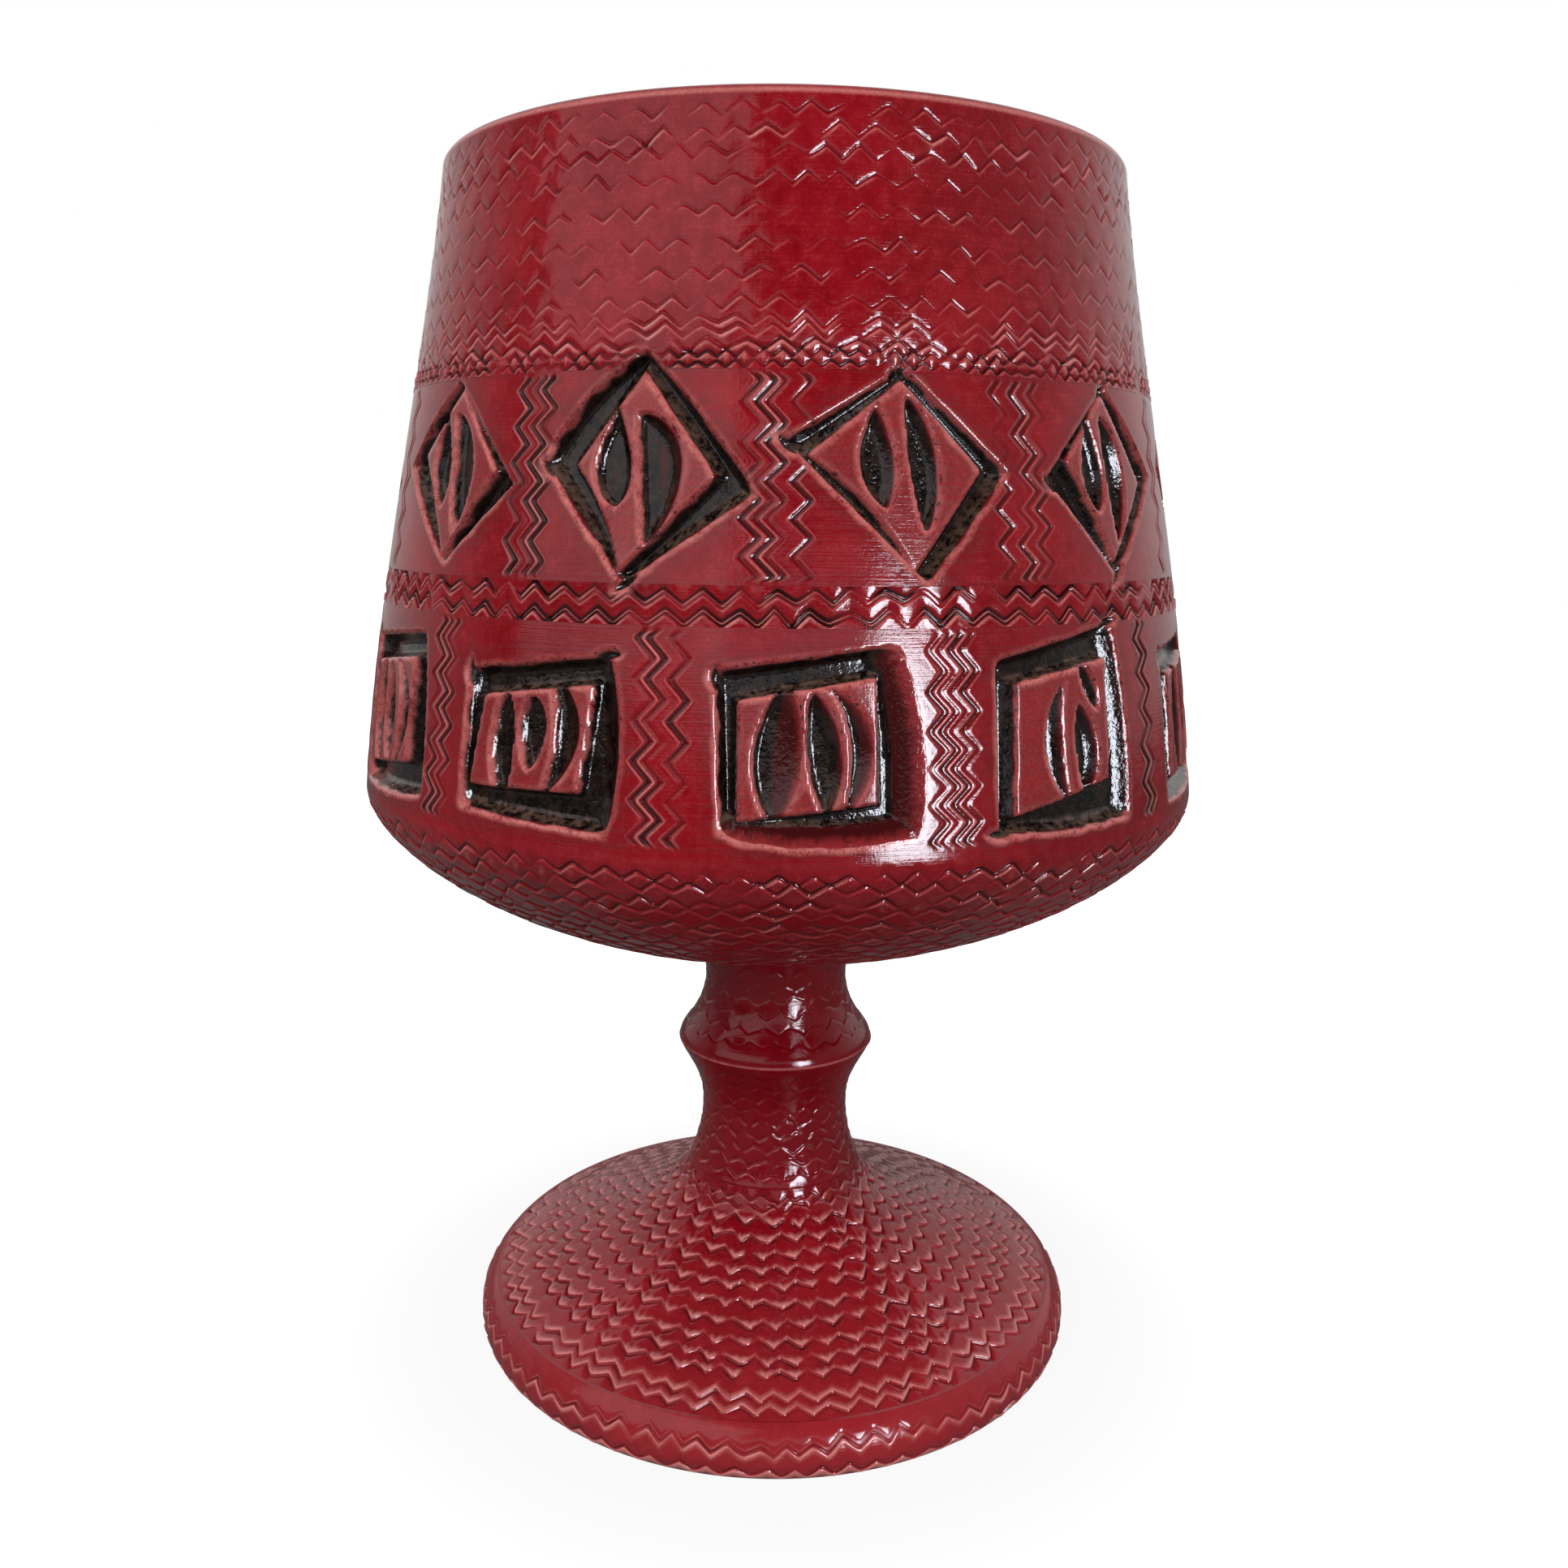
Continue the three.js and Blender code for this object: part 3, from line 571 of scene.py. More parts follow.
def ringFaces(startA, countA, startB, countB):
    # Faces from one ring to the next: squares, a fan at a pole, or fans where one ring has more points
    a, b = startA + np.arange(countA), startB + np.arange(countB)
    if countA == countB:
        return np.column_stack([a, np.roll(a, -1), np.roll(b, -1), b])
    if countB == 1:
        return np.column_stack([a, np.roll(a, -1), np.full(countA, startB)])
    if countA == 1:
        return np.column_stack([np.roll(b, -1), b, np.full(countB, startA)])
    fine, coarse, flip = (a, b, False) if countA > countB else (b, a, True)
    ratio = len(fine) // len(coarse)
    half = ratio // 2
    number = np.arange(len(fine))
    apex = coarse[((number // ratio) + (number % ratio >= half)) % len(coarse)]
    fans = np.column_stack([fine, np.roll(fine, -1), apex])
    links = np.column_stack([fine[half::ratio][:len(coarse)], np.roll(coarse, -1), coarse])
    triangles = np.vstack([fans, links])
    return triangles[:, ::-1] if flip else triangles


def makePiece(name, rings, closed, materials, node, bareRings=()):
    # Faces of a bare ring, counted from the first or back from the last, take the second material
    counts = [len(p) for p in rings.points]
    starts = np.r_[0, np.cumsum(counts)]
    faces = {size: [np.zeros((0, size), int)] for size in (4, 3)}
    ringOf = {4: [], 3: []}
    for k in range(len(counts) if closed else len(counts) - 1):
        after = (k + 1) % len(counts)
        made = ringFaces(starts[k], counts[k], starts[after], counts[after])
        faces[made.shape[1]].append(made)
        ringOf[made.shape[1]].append(np.full(len(made), k))
    squares, triangles = (np.vstack(faces[size]) for size in (4, 3))
    mesh = bpy.data.meshes.new(name)
    mesh.vertices.add(starts[-1])
    mesh.vertices.foreach_set("co", np.vstack(rings.points).astype(np.float32).ravel())
    corners = np.r_[squares.ravel(), triangles.ravel()].astype(np.int32)
    mesh.loops.add(len(corners))
    mesh.loops.foreach_set("vertex_index", corners)
    first = np.r_[np.arange(len(squares)) * 4, squares.size + np.arange(len(triangles)) * 3]
    mesh.polygons.add(len(first))
    mesh.polygons.foreach_set("loop_start", first.astype(np.int32))
    mesh.update(calc_edges=True)
    mesh.polygons.foreach_set("use_smooth", np.ones(len(first), bool))
    ring = np.repeat(np.arange(len(counts)), counts)
    ends = np.zeros(len(mesh.edges) * 2, np.int32)
    mesh.edges.foreach_get("vertices", ends)
    ends = ends.reshape(-1, 2)
    sharpRing = np.array(rings.sharp)
    hard = (ring[ends[:, 0]] == ring[ends[:, 1]]) & sharpRing[ring[ends[:, 0]]]
    mesh.edges.foreach_set("use_edge_sharp", hard)
    for label, values in (("marks", rings.marks), ("carved", rings.carved)):
        layer = mesh.attributes.new(label, "FLOAT_VECTOR", "POINT")
        layer.data.foreach_set("vector", np.vstack(values).astype(np.float32).ravel())
    for material in materials:
        mesh.materials.append(material)
    bare = np.isin(np.concatenate(ringOf[4] + ringOf[3]), [k % len(counts) for k in bareRings])
    mesh.polygons.foreach_set("material_index", bare.astype(np.int32))
    mesh.update()
    piece = linked(name, mesh)
    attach(piece, "root")
    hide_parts(node)
    print(name, "triangles", 2 * len(squares) + len(triangles))


# Shader helpers

def srgb(*channels):
    linear = [c / 255 / 12.92 if c <= 10 else ((c / 255 + 0.055) / 1.055) ** 2.4 for c in channels]
    return (*linear, 1.0)


class Wire:
    # A node's output. Sums and products of wires add Math nodes.
    def __init__(self, paint, socket):
        self.paint, self.socket = paint, socket

    def math(self, operation, first, second):
        return self.paint.node("Math", {"operation": operation}, {0: first, 1: second})

    def __add__(self, other):
        return self.math("ADD", self, other)

    __radd__ = __add__

    def __sub__(self, other):
        return self.math("SUBTRACT", self, other)

    def __rsub__(self, other):
        return self.math("SUBTRACT", other, self)

    def __mul__(self, other):
        return self.math("MULTIPLY", self, other)

    __rmul__ = __mul__


class Paint:
    def __init__(self, owner):
        owner.use_nodes = True
        self.tree = owner.node_tree
        self.tree.nodes.clear()

    def node(self, kind, settings=None, inputs=None, output=0):
        made = self.tree.nodes.new("ShaderNode" + kind)
        for key, value in (settings or {}).items():
            setattr(made, key, value)
        for key, value in (inputs or {}).items():
            if isinstance(value, Wire):
                self.tree.links.new(value.socket, made.inputs[key])
            else:
                made.inputs[key].default_value = value
        return Wire(self, made.outputs[output]) if len(made.outputs) else made

    def read(self, kind, output):
        return self.node(kind, output=output)

    def part(self, vector, axis):
        return self.node("SeparateXYZ", {}, {0: vector}, axis)

    def step(self, value, low, high):
        # 0 below low, 1 above high, and smooth between them
        return self.node("MapRange", {"interpolation_type": "SMOOTHSTEP"},
                         {"Value": value, "From Min": low, "From Max": high})

    def mix(self, factor, first, second):
        return self.node("Mix", {"data_type": "RGBA"}, {0: factor, 6: first, 7: second}, 2)

    def noise(self, vector, scale, detail=2.0, roughness=0.5):
        return self.node("TexNoise", {}, {"Vector": vector, "Scale": scale, "Detail": detail,
                                                    "Roughness": roughness}, "Fac")

    def stretched(self, vector, x, y, z):
        return self.node("VectorMath", {"operation": "MULTIPLY"}, {0: vector, 1: (x, y, z)})

    def place(self):
        # Where a point of the object lies, in millimetres
        return self.stretched(self.read("TexCoord", "Object"), 1000, 1000, 1000)

    def finish(self, colour, roughness, relief, strength, distance):
        bump = self.node("Bump", {}, {"Strength": strength, "Distance": distance, "Height": relief})
        surface = self.node("BsdfPrincipled", {}, {
            "Base Color": colour, "Roughness": roughness, "Normal": bump, "IOR": 1.5})
        self.node("OutputMaterial", {}, {"Surface": surface})


glaze = dict(
    deepRed=(118, 4, 16),
    red=(138, 14, 26),
    thinAndLitRed=(158, 50, 56),
    pale=(208, 128, 124),
    edge=(198, 112, 108),
    groove=(60, 3, 10),
    stain=(34, 12, 11),
    wash=(92, 32, 34),
    black=(11, 5, 5),
    thinGlazeAndSheen=(92, 70, 60),
    brown=(58, 10, 12),
    redBrown=(134, 38, 42),
    maroon=(108, 3, 15),
    plainMaroon=(122, 7, 21),
    thinMaroon=(122, 16, 28),
    roughness=0.06,
)


def tint(name):
    return srgb(*glaze[name])


def glazeMaterial(name):
    # Glaze that is deep where it pools, thin and pale on edges, and black in the carving. It goes from
    # crimson to maroon on the stem and under the bowl, a painted shade where the bowl overhangs them.
    # Edges, lips and ridges also carry painted highlights, and the carving's walls that face up a painted
    # reflection.
    material = bpy.data.materials.new(name)
    paint = Paint(material)
    place = paint.place()
    marks = paint.node("Attribute", {"attribute_name": "marks"}, {}, "Vector")
    dark, pale, stain = (paint.part(marks, k) for k in range(3))
    carved = paint.node("Attribute", {"attribute_name": "carved"}, {}, "Vector")
    edge, depth, rim = (paint.part(carved, k) for k in range(3))
    upward = paint.step(paint.part(paint.read("NewGeometry", "Normal"), 2), 0.05, 0.7)
    cloudy = paint.noise(place, 0.035, 3.0, 0.6)
    mottled = paint.noise(place, 0.32, 4.0, 0.65)
    fine = paint.noise(place, 1.6, 3.0, 0.6)
    lumps = paint.noise(place, 0.8, 2.0, 0.5)
    acrossBrush = paint.noise(paint.stretched(place, 0.05, 0.05, 2.6), 1.0, 3.0, 0.6)
    upBrush = paint.noise(paint.stretched(place, 1.9, 1.9, 0.06), 1.0, 3.0, 0.6)
    brush = paint.step(acrossBrush * 0.7 + upBrush * 0.3, 0.38, 0.64)
    pooled = paint.step(cloudy * 0.6 + mottled * 0.4, 0.36, 0.62)
    level = paint.part(place, 2)
    # Painted shade: from the top of the foot up to the belly, under the bowl, each tone becomes a darker
    # maroon copy
    shaded = paint.step(level, 26, 52) * (1 - paint.step(level, 112, 158))
    deep, plain, thinner = (
        paint.mix(shaded, tint(high), tint(low))
        for high, low in (("deepRed", "maroon"), ("red", "plainMaroon"), ("thinAndLitRed", "thinMaroon")))
    colour = paint.mix(pooled, deep, plain)
    colour = paint.mix(paint.step(mottled * 0.5 + fine * 0.5, 0.42, 0.7) * brush * 0.6, colour, thinner)
    # The foot is painted lighter and pinker: painted light and sheen on a part that faces up
    colour = paint.mix(0.4 - paint.step(level, 5, 42) * 0.4, colour, tint("thinAndLitRed"))
    # Brown wash left round the carving
    washed = paint.step(edge, uncut, -0.8) * paint.step(mottled * 0.5 + brush * 0.3 + fine * 0.2, 0.3, 0.62)
    colour = paint.mix(washed * 0.6, colour, tint("wash"))
    # Edges that the glaze has run off, and the painted highlights on stamped lips, pads, post ridges and
    # between twin border lines
    colour = paint.mix(paint.step(pale * (0.5 + fine * 0.85), 0.12, 1.0) * 0.75, colour, tint("pale"))
    # Stamped lines, where the glaze pools, with partly painted shade beside them, and the black that
    # stays in some of them
    colour = paint.mix(paint.step(dark, 0.05, 1.0) * 0.9, colour, tint("groove"))
    stained = paint.step(stain * (0.35 + mottled * 1.2), 0.12, 0.8)
    colour = paint.mix(stained * 0.9, colour, tint("stain"))
    # Black glaze in the carving, most where the wall is steep or the cut deep, red-brown on the long
    # slopes, and grey-brown in patches of thin glaze, more so on walls that face up, where it is a painted
    # reflection of the bright sky above
    cut = paint.step(edge, 0.0, 0.35)
    blotches = paint.step(mottled * 0.6 + lumps * 0.4, 0.4, 0.6)
    soot = paint.step(depth * 1.6 - edge * 0.8 + fine * 0.5 + lumps * 0.4, 0.95, 1.9)
    black = paint.mix((0.12 + upward * 0.75) * blotches, tint("black"), tint("thinGlazeAndSheen"))
    fading = paint.step(depth + blotches * 0.3, 0.0, 1.2)
    shallow = paint.mix(fading, tint("redBrown"), tint("brown"))
    colour = paint.mix(cut, colour, paint.mix(soot, shallow, black))
    # The glaze is thin and pale on the shoulders of the cuts, and a painted highlight makes the lower and
    # right-hand ones, which face the light, paler still
    shoulder = paint.step(edge, -1.5, -0.15) * (1 - paint.step(edge, 0.05, 0.5))
    thinAndLitShoulder = shoulder * (0.35 + rim * 0.65) * paint.step(fine * 0.5 + mottled * 0.5, 0.3, 0.56)
    colour = paint.mix(thinAndLitShoulder * 0.85, colour, tint("edge"))
    # Black that runs over some upper edges
    spilled = paint.step(edge, -0.9, -0.05) * (1 - cut) * paint.step(lumps * 0.7 + fine * 0.3, 0.55, 0.64)
    colour = paint.mix(spilled * (1 - rim) * 0.9, colour, tint("black"))
    rough = glaze["roughness"] + mottled * 0.06
    height = (fine * 0.03 + mottled * 0.1 + brush * 0.02) * (1 - cut) + cut * (lumps * 0.22 + fine * 0.08)
    paint.finish(colour, rough, height, 0.6, 0.0008)
    return material


def clayMaterial(name, colour, other):
    # Bare fired clay or slip: matt, speckled, slightly gritty
    material = bpy.data.materials.new(name)
    paint = Paint(material)
    place = paint.place()
    mottled = paint.noise(place, 0.5, 4.0, 0.6)
    grit = paint.noise(place, 3.2, 2.0, 0.7)
    speckled = paint.mix(paint.step(mottled * 0.6 + grit * 0.4, 0.35, 0.68), srgb(*colour), srgb(*other))
    paint.finish(speckled, 0.6 + grit * 0.25, grit, 0.5, 0.0004)
    return material


crimson = glazeMaterial("crimson_glaze")
maroon = glazeMaterial("maroon_glaze")
bareClay = clayMaterial("bare_clay", (176, 112, 84), (150, 90, 66))
glazedSlip = clayMaterial("glazed_slip", (168, 78, 80), (140, 40, 46))
print("materials made")


# Bowl

bowl = dict(
    columns=1080,
    liningColumns=216,
    collarRadius=22.0,
    filletWidth=3.0,
    filletHeight=4.0,
    bellyHeight=45.5,
    rimRadius=82.1,
    lipWall=5.0,
    wall=8.0,
    floorHeight=12.5,
    floorRadius=31.1,
    socketDepth=3.55,
    socketRadius=15.3,
    neckJoin=273.5,
    bandTop=246.9,
    borderTop=206.3,
    borderBottom=198.3,
    belly=155.2,
    undersideJoin=60.0,
    undersideSpacing=4.6,
    lowestRow=9.0,
    collarInset=2,
    turnInset=6,
    pointsBelow=300,  # so many of an outline's first points lie below the belly, where it only grows wider
    lipSteps=18,
    collarColumns=540,
    lozengeRings=86,
    squareRings=89,
)
collar = (bowl["collarRadius"], bowlBottom)
filletTop = (bowl["collarRadius"] + bowl["filletWidth"], bowlBottom + bowl["filletHeight"])
bellyPoint = (reach("bowl"), bowlBottom + bowl["bellyHeight"])
lipBase = (bowl["rimRadius"], bowlTop - bowl["lipWall"] / 2)
bowlOutline = Outline(
    curve(collar, filletTop, (0, 0.55), (0.4, 1)),
    curve(filletTop, bellyPoint, (0.53, 0.02), (1, 0.67), 240),
    curve(bellyPoint, lipBase, (0.17, 0.316), (0.855, 0.785), 240),
)
at = bowlOutline.atHeight
random = np.random.default_rng(seeds["rows"])
theta = angles(bowl["columns"])


def wallAt(height):
    share = (np.maximum(height, bellyPoint[1]) - bellyPoint[1]) / (lipBase[1] - bellyPoint[1])
    return bowl["wall"] + (bowl["lipWall"] - bowl["wall"]) * share


insideR, insideZ = bowlOutline.inset(wallAt)
floorLevel = bowlBottom + bowl["floorHeight"]
kept = (insideZ > floorLevel) & (insideZ < lipBase[1] - 2) & (insideR > bowl["floorRadius"])
bowlInside = Outline([(bowl["floorRadius"], floorLevel)], np.column_stack([insideR[kept], insideZ[kept]]),
                     [(bowl["rimRadius"] - bowl["lipWall"], lipBase[1])])
insideAt = bowlInside.atHeight


def lining(rings, outline, top, bottom, columns, softTop=False, step=3.2, ridge=0.12):
    # The inside, downwards, with the low ridges that fingers leave in throwing
    count = max(2, round(abs(top - bottom) / step) + 1)
    for k, along in enumerate(np.linspace(top, bottom, count)):
        radius, height = outline.at(along)
        held = 0 if k in (0, count - 1) else ridge
        rings.plain(float(radius) + held * math.sin(along * 0.55), float(height), columns,
                    k == count - 1 or (k == 0 and not softTop))


def bowlPiece(name, zone, top, bottom, lip=False):
    # A ring of the bowl: stamped or carved outside, thrown lining inside, cut flat above and below
    rings = Rings()
    zoneRings(rings, bowlOutline, zone, carved=not lip)
    if lip:
        half = bowl["lipWall"] / 2
        middle = bowl["rimRadius"] - half
        rings.sharp[-1] = False
        for share in np.linspace(0, math.pi, bowl["lipSteps"] + 1)[1:-1]:
            worn = float(smooth(1 - abs(share / math.pi - 0.14) / 0.16))
            rings.plain(middle + half * math.cos(share), lipBase[1] + half * math.sin(share),
                        bowl["columns"], pale=0.8 * worn)
    lining(rings, bowlInside, top, bottom, bowl["liningColumns"], softTop=lip)
    makePiece(name, rings, True, [crimson], "bowl")


def onOutline(outline, rows):
    # Rows that are given by their heights
    return [dict(r, at=outline.atHeight(r["at"])) for r in rows]


def stampedBand(name, bottom, top, rows, lip=False):
    zone = stampedZone(bowlOutline, theta, at(bottom), at(top), onOutline(bowlOutline, rows), random)
    bowlPiece(name, zone, insideAt(top), insideAt(bottom), lip)


def carvedBand(name, kind, bottom, top):
    zone = plainZone(theta, at(bottom), at(top), bowl[kind + "Rings"])
    posts(bowlOutline, zone, kind, random)
    bowlPiece(name, zone, insideAt(top), insideAt(bottom))


neckUpper = [row(height, shift=shift, deep=deep, pale=pale) for height, shift, deep, pale in (
    (276.6, 0.75, 0.2, 0.4), (282.6, 0.4, 0.28, 0.36), (287.5, 0.95, 0.42, 0.4), (291.2, 0.45, 0.28, 0.6),
    (295.3, 0.2, 0.18, 0.36))]
fine = dict(pitch=3.68, rise=0.65, deep=0.6, ink=1.0, pale=0.5)
neckLower = [
    row(247.9, **fine, shift=0.5, stain=0.7, beads=1.0),
    row(249.9, **fine, stain=0.6, beads=0.6, twin=True),
    row(251.6, pitch=7.36, rise=1.0, deep=0.45, ink=0.8, stain=0.3, pale=0.8),
    row(254.3, shift=0.3, deep=0.26, pale=0.7),
    row(256.2, shift=0.36, deep=0.26, pale=0.65, twin=True),
    row(259.6, shift=0.1, deep=0.2, pale=0.5),
    row(264.9, shift=0.55, deep=0.2, pale=0.4),
    row(270.5, shift=0.85, deep=0.2, pale=0.4),
]
# Each border line is a twin pair, and the pale between the two is a painted highlight standing for the
# glint in a glossy groove
border = [
    row(199.6, pitch=7.25, shift=0.1, rise=1.3, deep=0.7, ink=1.0, stain=0.9, pale=0.7),
    row(200.6, pitch=7.25, shift=0.1, rise=1.3, deep=0.8, ink=1.0, stain=1.0, pale=0.9, twin=True),
    row(203.8, pitch=7.22, shift=0.1, rise=1.25, deep=0.5, ink=0.9, stain=0.3, pale=0.5),
    row(204.7, pitch=7.22, shift=0.1, rise=1.25, deep=0.7, ink=1.0, stain=0.9, pale=0.8, twin=True),
]
stampedBand("bowl_neck_upper", bowl["neckJoin"], lipBase[1], neckUpper, lip=True)
stampedBand("bowl_neck_lower", bowl["bandTop"], bowl["neckJoin"], neckLower)
carvedBand("bowl_lozenge_band", "lozenge", bowl["borderTop"], bowl["bandTop"])
stampedBand("bowl_border", bowl["borderBottom"], bowl["borderTop"], border)
carvedBand("bowl_square_band", "square", bowl["belly"], bowl["borderBottom"])


def undersideRow(along, number, pitch, pale, beads):
    # Every other row is shifted by half a tooth, with beads of glaze in the gaps
    odd = number % 2
    return row(along, pitch=pitch, shift=0.5 * odd, rise=1.3, deep=0.55, ink=0.9, stain=0.4, pale=pale,
               beads=beads * odd)


undersideRows = [undersideRow(at(height), number, 7.0, 0.45, 0.5) for number, height in enumerate(
    (150.0, 147.3, 143.6, 141.2, 137.6, 135.5))]
spacing = bowl["undersideSpacing"]
lowest = undersideRows[-1]["at"]
undersideRows += [undersideRow(float(along), number, 6.8, 0.4, 0.45) for number, along in enumerate(
    np.arange(lowest - spacing, bowl["lowestRow"], -spacing))]
undersideRows.reverse()
# Below the belly the bowl is parted into a turn, an underside and a collar. Turn and underside meet
# midway between two rows.
belowBelly = slice(bowl["pointsBelow"])
collarJoin = bowlOutline.atRadius(bowl["undersideJoin"], belowBelly)
insideCollar = bowlInside.atRadius(bowl["undersideJoin"] - bowl["collarInset"], belowBelly)
turnJoin = lowest - spacing / 2
insideTurn = bowlInside.atRadius(float(bowlOutline.at(turnJoin)[0]) - bowl["turnInset"], belowBelly)
for name, low, high, insideLow, insideHigh in (
        ("bowl_turn", turnJoin, at(bowl["belly"]), insideTurn, insideAt(bowl["belly"])),
        ("bowl_underside", collarJoin, turnJoin, insideCollar, insideTurn)):
    between = [r for r in undersideRows if low + rowRoom < r["at"] < high]
    bowlPiece(name, stampedZone(bowlOutline, theta, low, high, between, random), insideHigh, insideLow)

rings = Rings()
columns = bowl["collarColumns"]
ceiling = bowlBottom + bowl["socketDepth"]
rings.plain(0, ceiling, columns)
rings.section([(bowl["socketRadius"], ceiling), (bowl["socketRadius"], bowlBottom)], columns)
between = [r for r in undersideRows if r["at"] < collarJoin - rowRoom]
zoneRings(rings, bowlOutline, stampedZone(bowlOutline, angles(columns), 0.0, collarJoin, between, random))
rings.section([(bowl["undersideJoin"], float(bowlOutline.at(collarJoin)[1]))], bowl["columns"])
lining(rings, bowlInside, insideCollar, 0.0, bowl["liningColumns"])
rings.plain(0, floorLevel, bowl["liningColumns"])
makePiece("bowl_collar", rings, False, [crimson], "bowl")
print("bowl made")


# Foot

foot = dict(
    columns=960,
    neckColumns=480,
    liningColumns=240,
    restingRadius=80.5,
    restingWidth=6.5,
    chamfer=0.75,
    swellHeight=4.0,
    ridgeRadius=77.25,
    ridgeHeight=12.75,
    ridgeStep=0.75,
    neckRadius=23.25,
    wall=8.0,
    bore=11.0,
    throat=11.0,
    spigotRadius=15.0,
    spigotHeight=4.0,
    join=45.6,
    joinInset=3,
    edgeInside=5.4,
)
swell = (reach("foot"), foot["swellHeight"])
ridge = (foot["ridgeRadius"], foot["ridgeHeight"])
domeStart = (foot["ridgeRadius"] - foot["ridgeStep"], foot["ridgeHeight"])
dome = curve(domeStart, (foot["neckRadius"], footTop), (0.51, 0.41), (0.91, 0.54), 240)
edgeOutline = Outline(
    [(foot["restingRadius"] - foot["chamfer"], 0)],
    curve((foot["restingRadius"], foot["chamfer"]), swell, (0.6, 0.3), (1, 0.6)),
    curve(swell, ridge, (0, 0.5), (0.6, 0.85)),
)
domeOutline = Outline(dome)
innerR, innerZ = domeOutline.inset(lambda height: foot["wall"] + 0 * height)
under = (innerZ > 0) & (innerZ < footTop - foot["throat"])
hollowUnder = np.column_stack([innerR[under], innerZ[under]])
footInside = Outline([(foot["restingRadius"] - foot["restingWidth"], 0)], hollowUnder,
                     curve(hollowUnder[-1], (foot["bore"], footTop), (0.5, 0.1), (1, 0.6)))
footTheta = angles(foot["columns"])
edgeRows = [row(2.9, pitch=6.83, shift=0.2, rise=1.2, deep=0.55, ink=0.6, pale=0.9, fill=1.0),
            row(8.7, pitch=6.83, shift=0.45, rise=1.2, deep=0.55, ink=0.55, pale=0.7, fill=0.3),
            row(10.0, pitch=6.83, shift=0.45, rise=1.2, deep=0.2, ink=0.0, pale=0.3, twin=True)]
wideToNarrow = slice(None, None, -1)


def domeAt(radius):
    return domeOutline.atRadius(radius, wideToNarrow)


rings = Rings()
zone = stampedZone(edgeOutline, footTheta, 0.0, edgeOutline.length[-1], edgeRows, random)
zoneRings(rings, edgeOutline, zone)
rings.section([domeStart], foot["columns"])
edgeInside = footInside.atHeight(foot["edgeInside"])
lining(rings, footInside, edgeInside, 0.0, foot["liningColumns"])
makePiece("foot_edge", rings, True, [crimson, bareClay], "foot", bareRings=(-3, -2, -1, 0))

domeRows = []
for number, radius in enumerate((74.6, 71.6, 66.0, 62.4, 58.2, 53.2, 48.2, 43.2, 38.9, 35.0, 31.2, 27.9)):
    looks = dict(ink=0.65, pale=0.48, fill=0.12, pads=0.8)
    if number < 2:
        looks = dict(ink=0.5, pale=0.6, fill=0.35, pads=0.25)
    domeRows.append(row(domeAt(radius), pitch=7.05, shift=-0.13 * number, rise=1.2, deep=0.62, lipUp=True,
                        twin=number == 1, **looks))
domeJoin = domeAt(foot["join"])
outerDome = [r for r in domeRows if r["at"] < domeJoin - rowRoom]
innerDome = [r for r in domeRows if r["at"] > domeJoin + rowRoom]
innerDome += [row(domeOutline.atHeight(height), pitch=6.4, shift=0.4 * number, rise=0.8, deep=0.4,
                  pale=0.55, pads=0.3) for number, height in enumerate((39.0, 41.0))]
rings = Rings()
zoneRings(rings, domeOutline, stampedZone(domeOutline, footTheta, 0.0, domeJoin, outerDome, random))
domeInside = footInside.atRadius(foot["join"] - foot["joinInset"], wideToNarrow)
lining(rings, footInside, domeInside, edgeInside, foot["liningColumns"])
makePiece("foot_dome", rings, True, [crimson], "foot")

rings = Rings()
rings.section([(foot["join"], float(domeOutline.at(domeJoin)[1]))], foot["columns"])
footTheta = angles(foot["neckColumns"])
zone = stampedZone(domeOutline, footTheta, domeJoin, domeOutline.length[-1], innerDome, random)
zoneRings(rings, domeOutline, zone)
spigotTop = footTop + foot["spigotHeight"]
rings.section([(foot["spigotRadius"], footTop), (foot["spigotRadius"], spigotTop),
               (foot["bore"], spigotTop)], foot["liningColumns"])
lining(rings, footInside, footInside.length[-1], domeInside, foot["liningColumns"])
makePiece("foot_neck", rings, True, [crimson], "foot")
print("foot made")


# Stem

stem = dict(
    columns=360,
    boreColumns=120,
    bore=foot["bore"],
    clearance=0.3,
    socketDepth=bowl["socketDepth"],
    spigotHeight=foot["spigotHeight"],
    footSpigot=foot["spigotRadius"],
    knopSpigot=18.0,
    bowlSpigot=15.0,
    neckRadius=foot["neckRadius"],
    lowerWaist=(19.85, 16.25),
    knopRadius=26.25,
    upperWaist=(19.1, 17.0),
    collarRadius=bowl["collarRadius"],
)


def stemPiece(name, ends, bottomRadius, waist, topRadius, below, above, socket, spigot, rows):
    base, shoulder = ends["bottom"], ends["shoulder"]
    waistPoint = (waist[0], base + waist[1])
    outline = Outline(curve((bottomRadius, base), waistPoint, *below),
                      curve(waistPoint, (topRadius, shoulder), *above))
    around = angles(stem["columns"])
    rings = Rings()
    zone = stampedZone(outline, around, 0.0, outline.length[-1], onOutline(outline, rows), random)
    zoneRings(rings, outline, zone)
    top = shoulder + stem["spigotHeight"]
    ceiling = base + stem["socketDepth"]
    socket += stem["clearance"]
    rings.section([(spigot, shoulder), (spigot, top), (stem["bore"], top), (stem["bore"], ceiling),
                   (socket, ceiling), (socket, base)], stem["boreColumns"])
    makePiece(name + "_glazed", rings, True, [maroon], name)


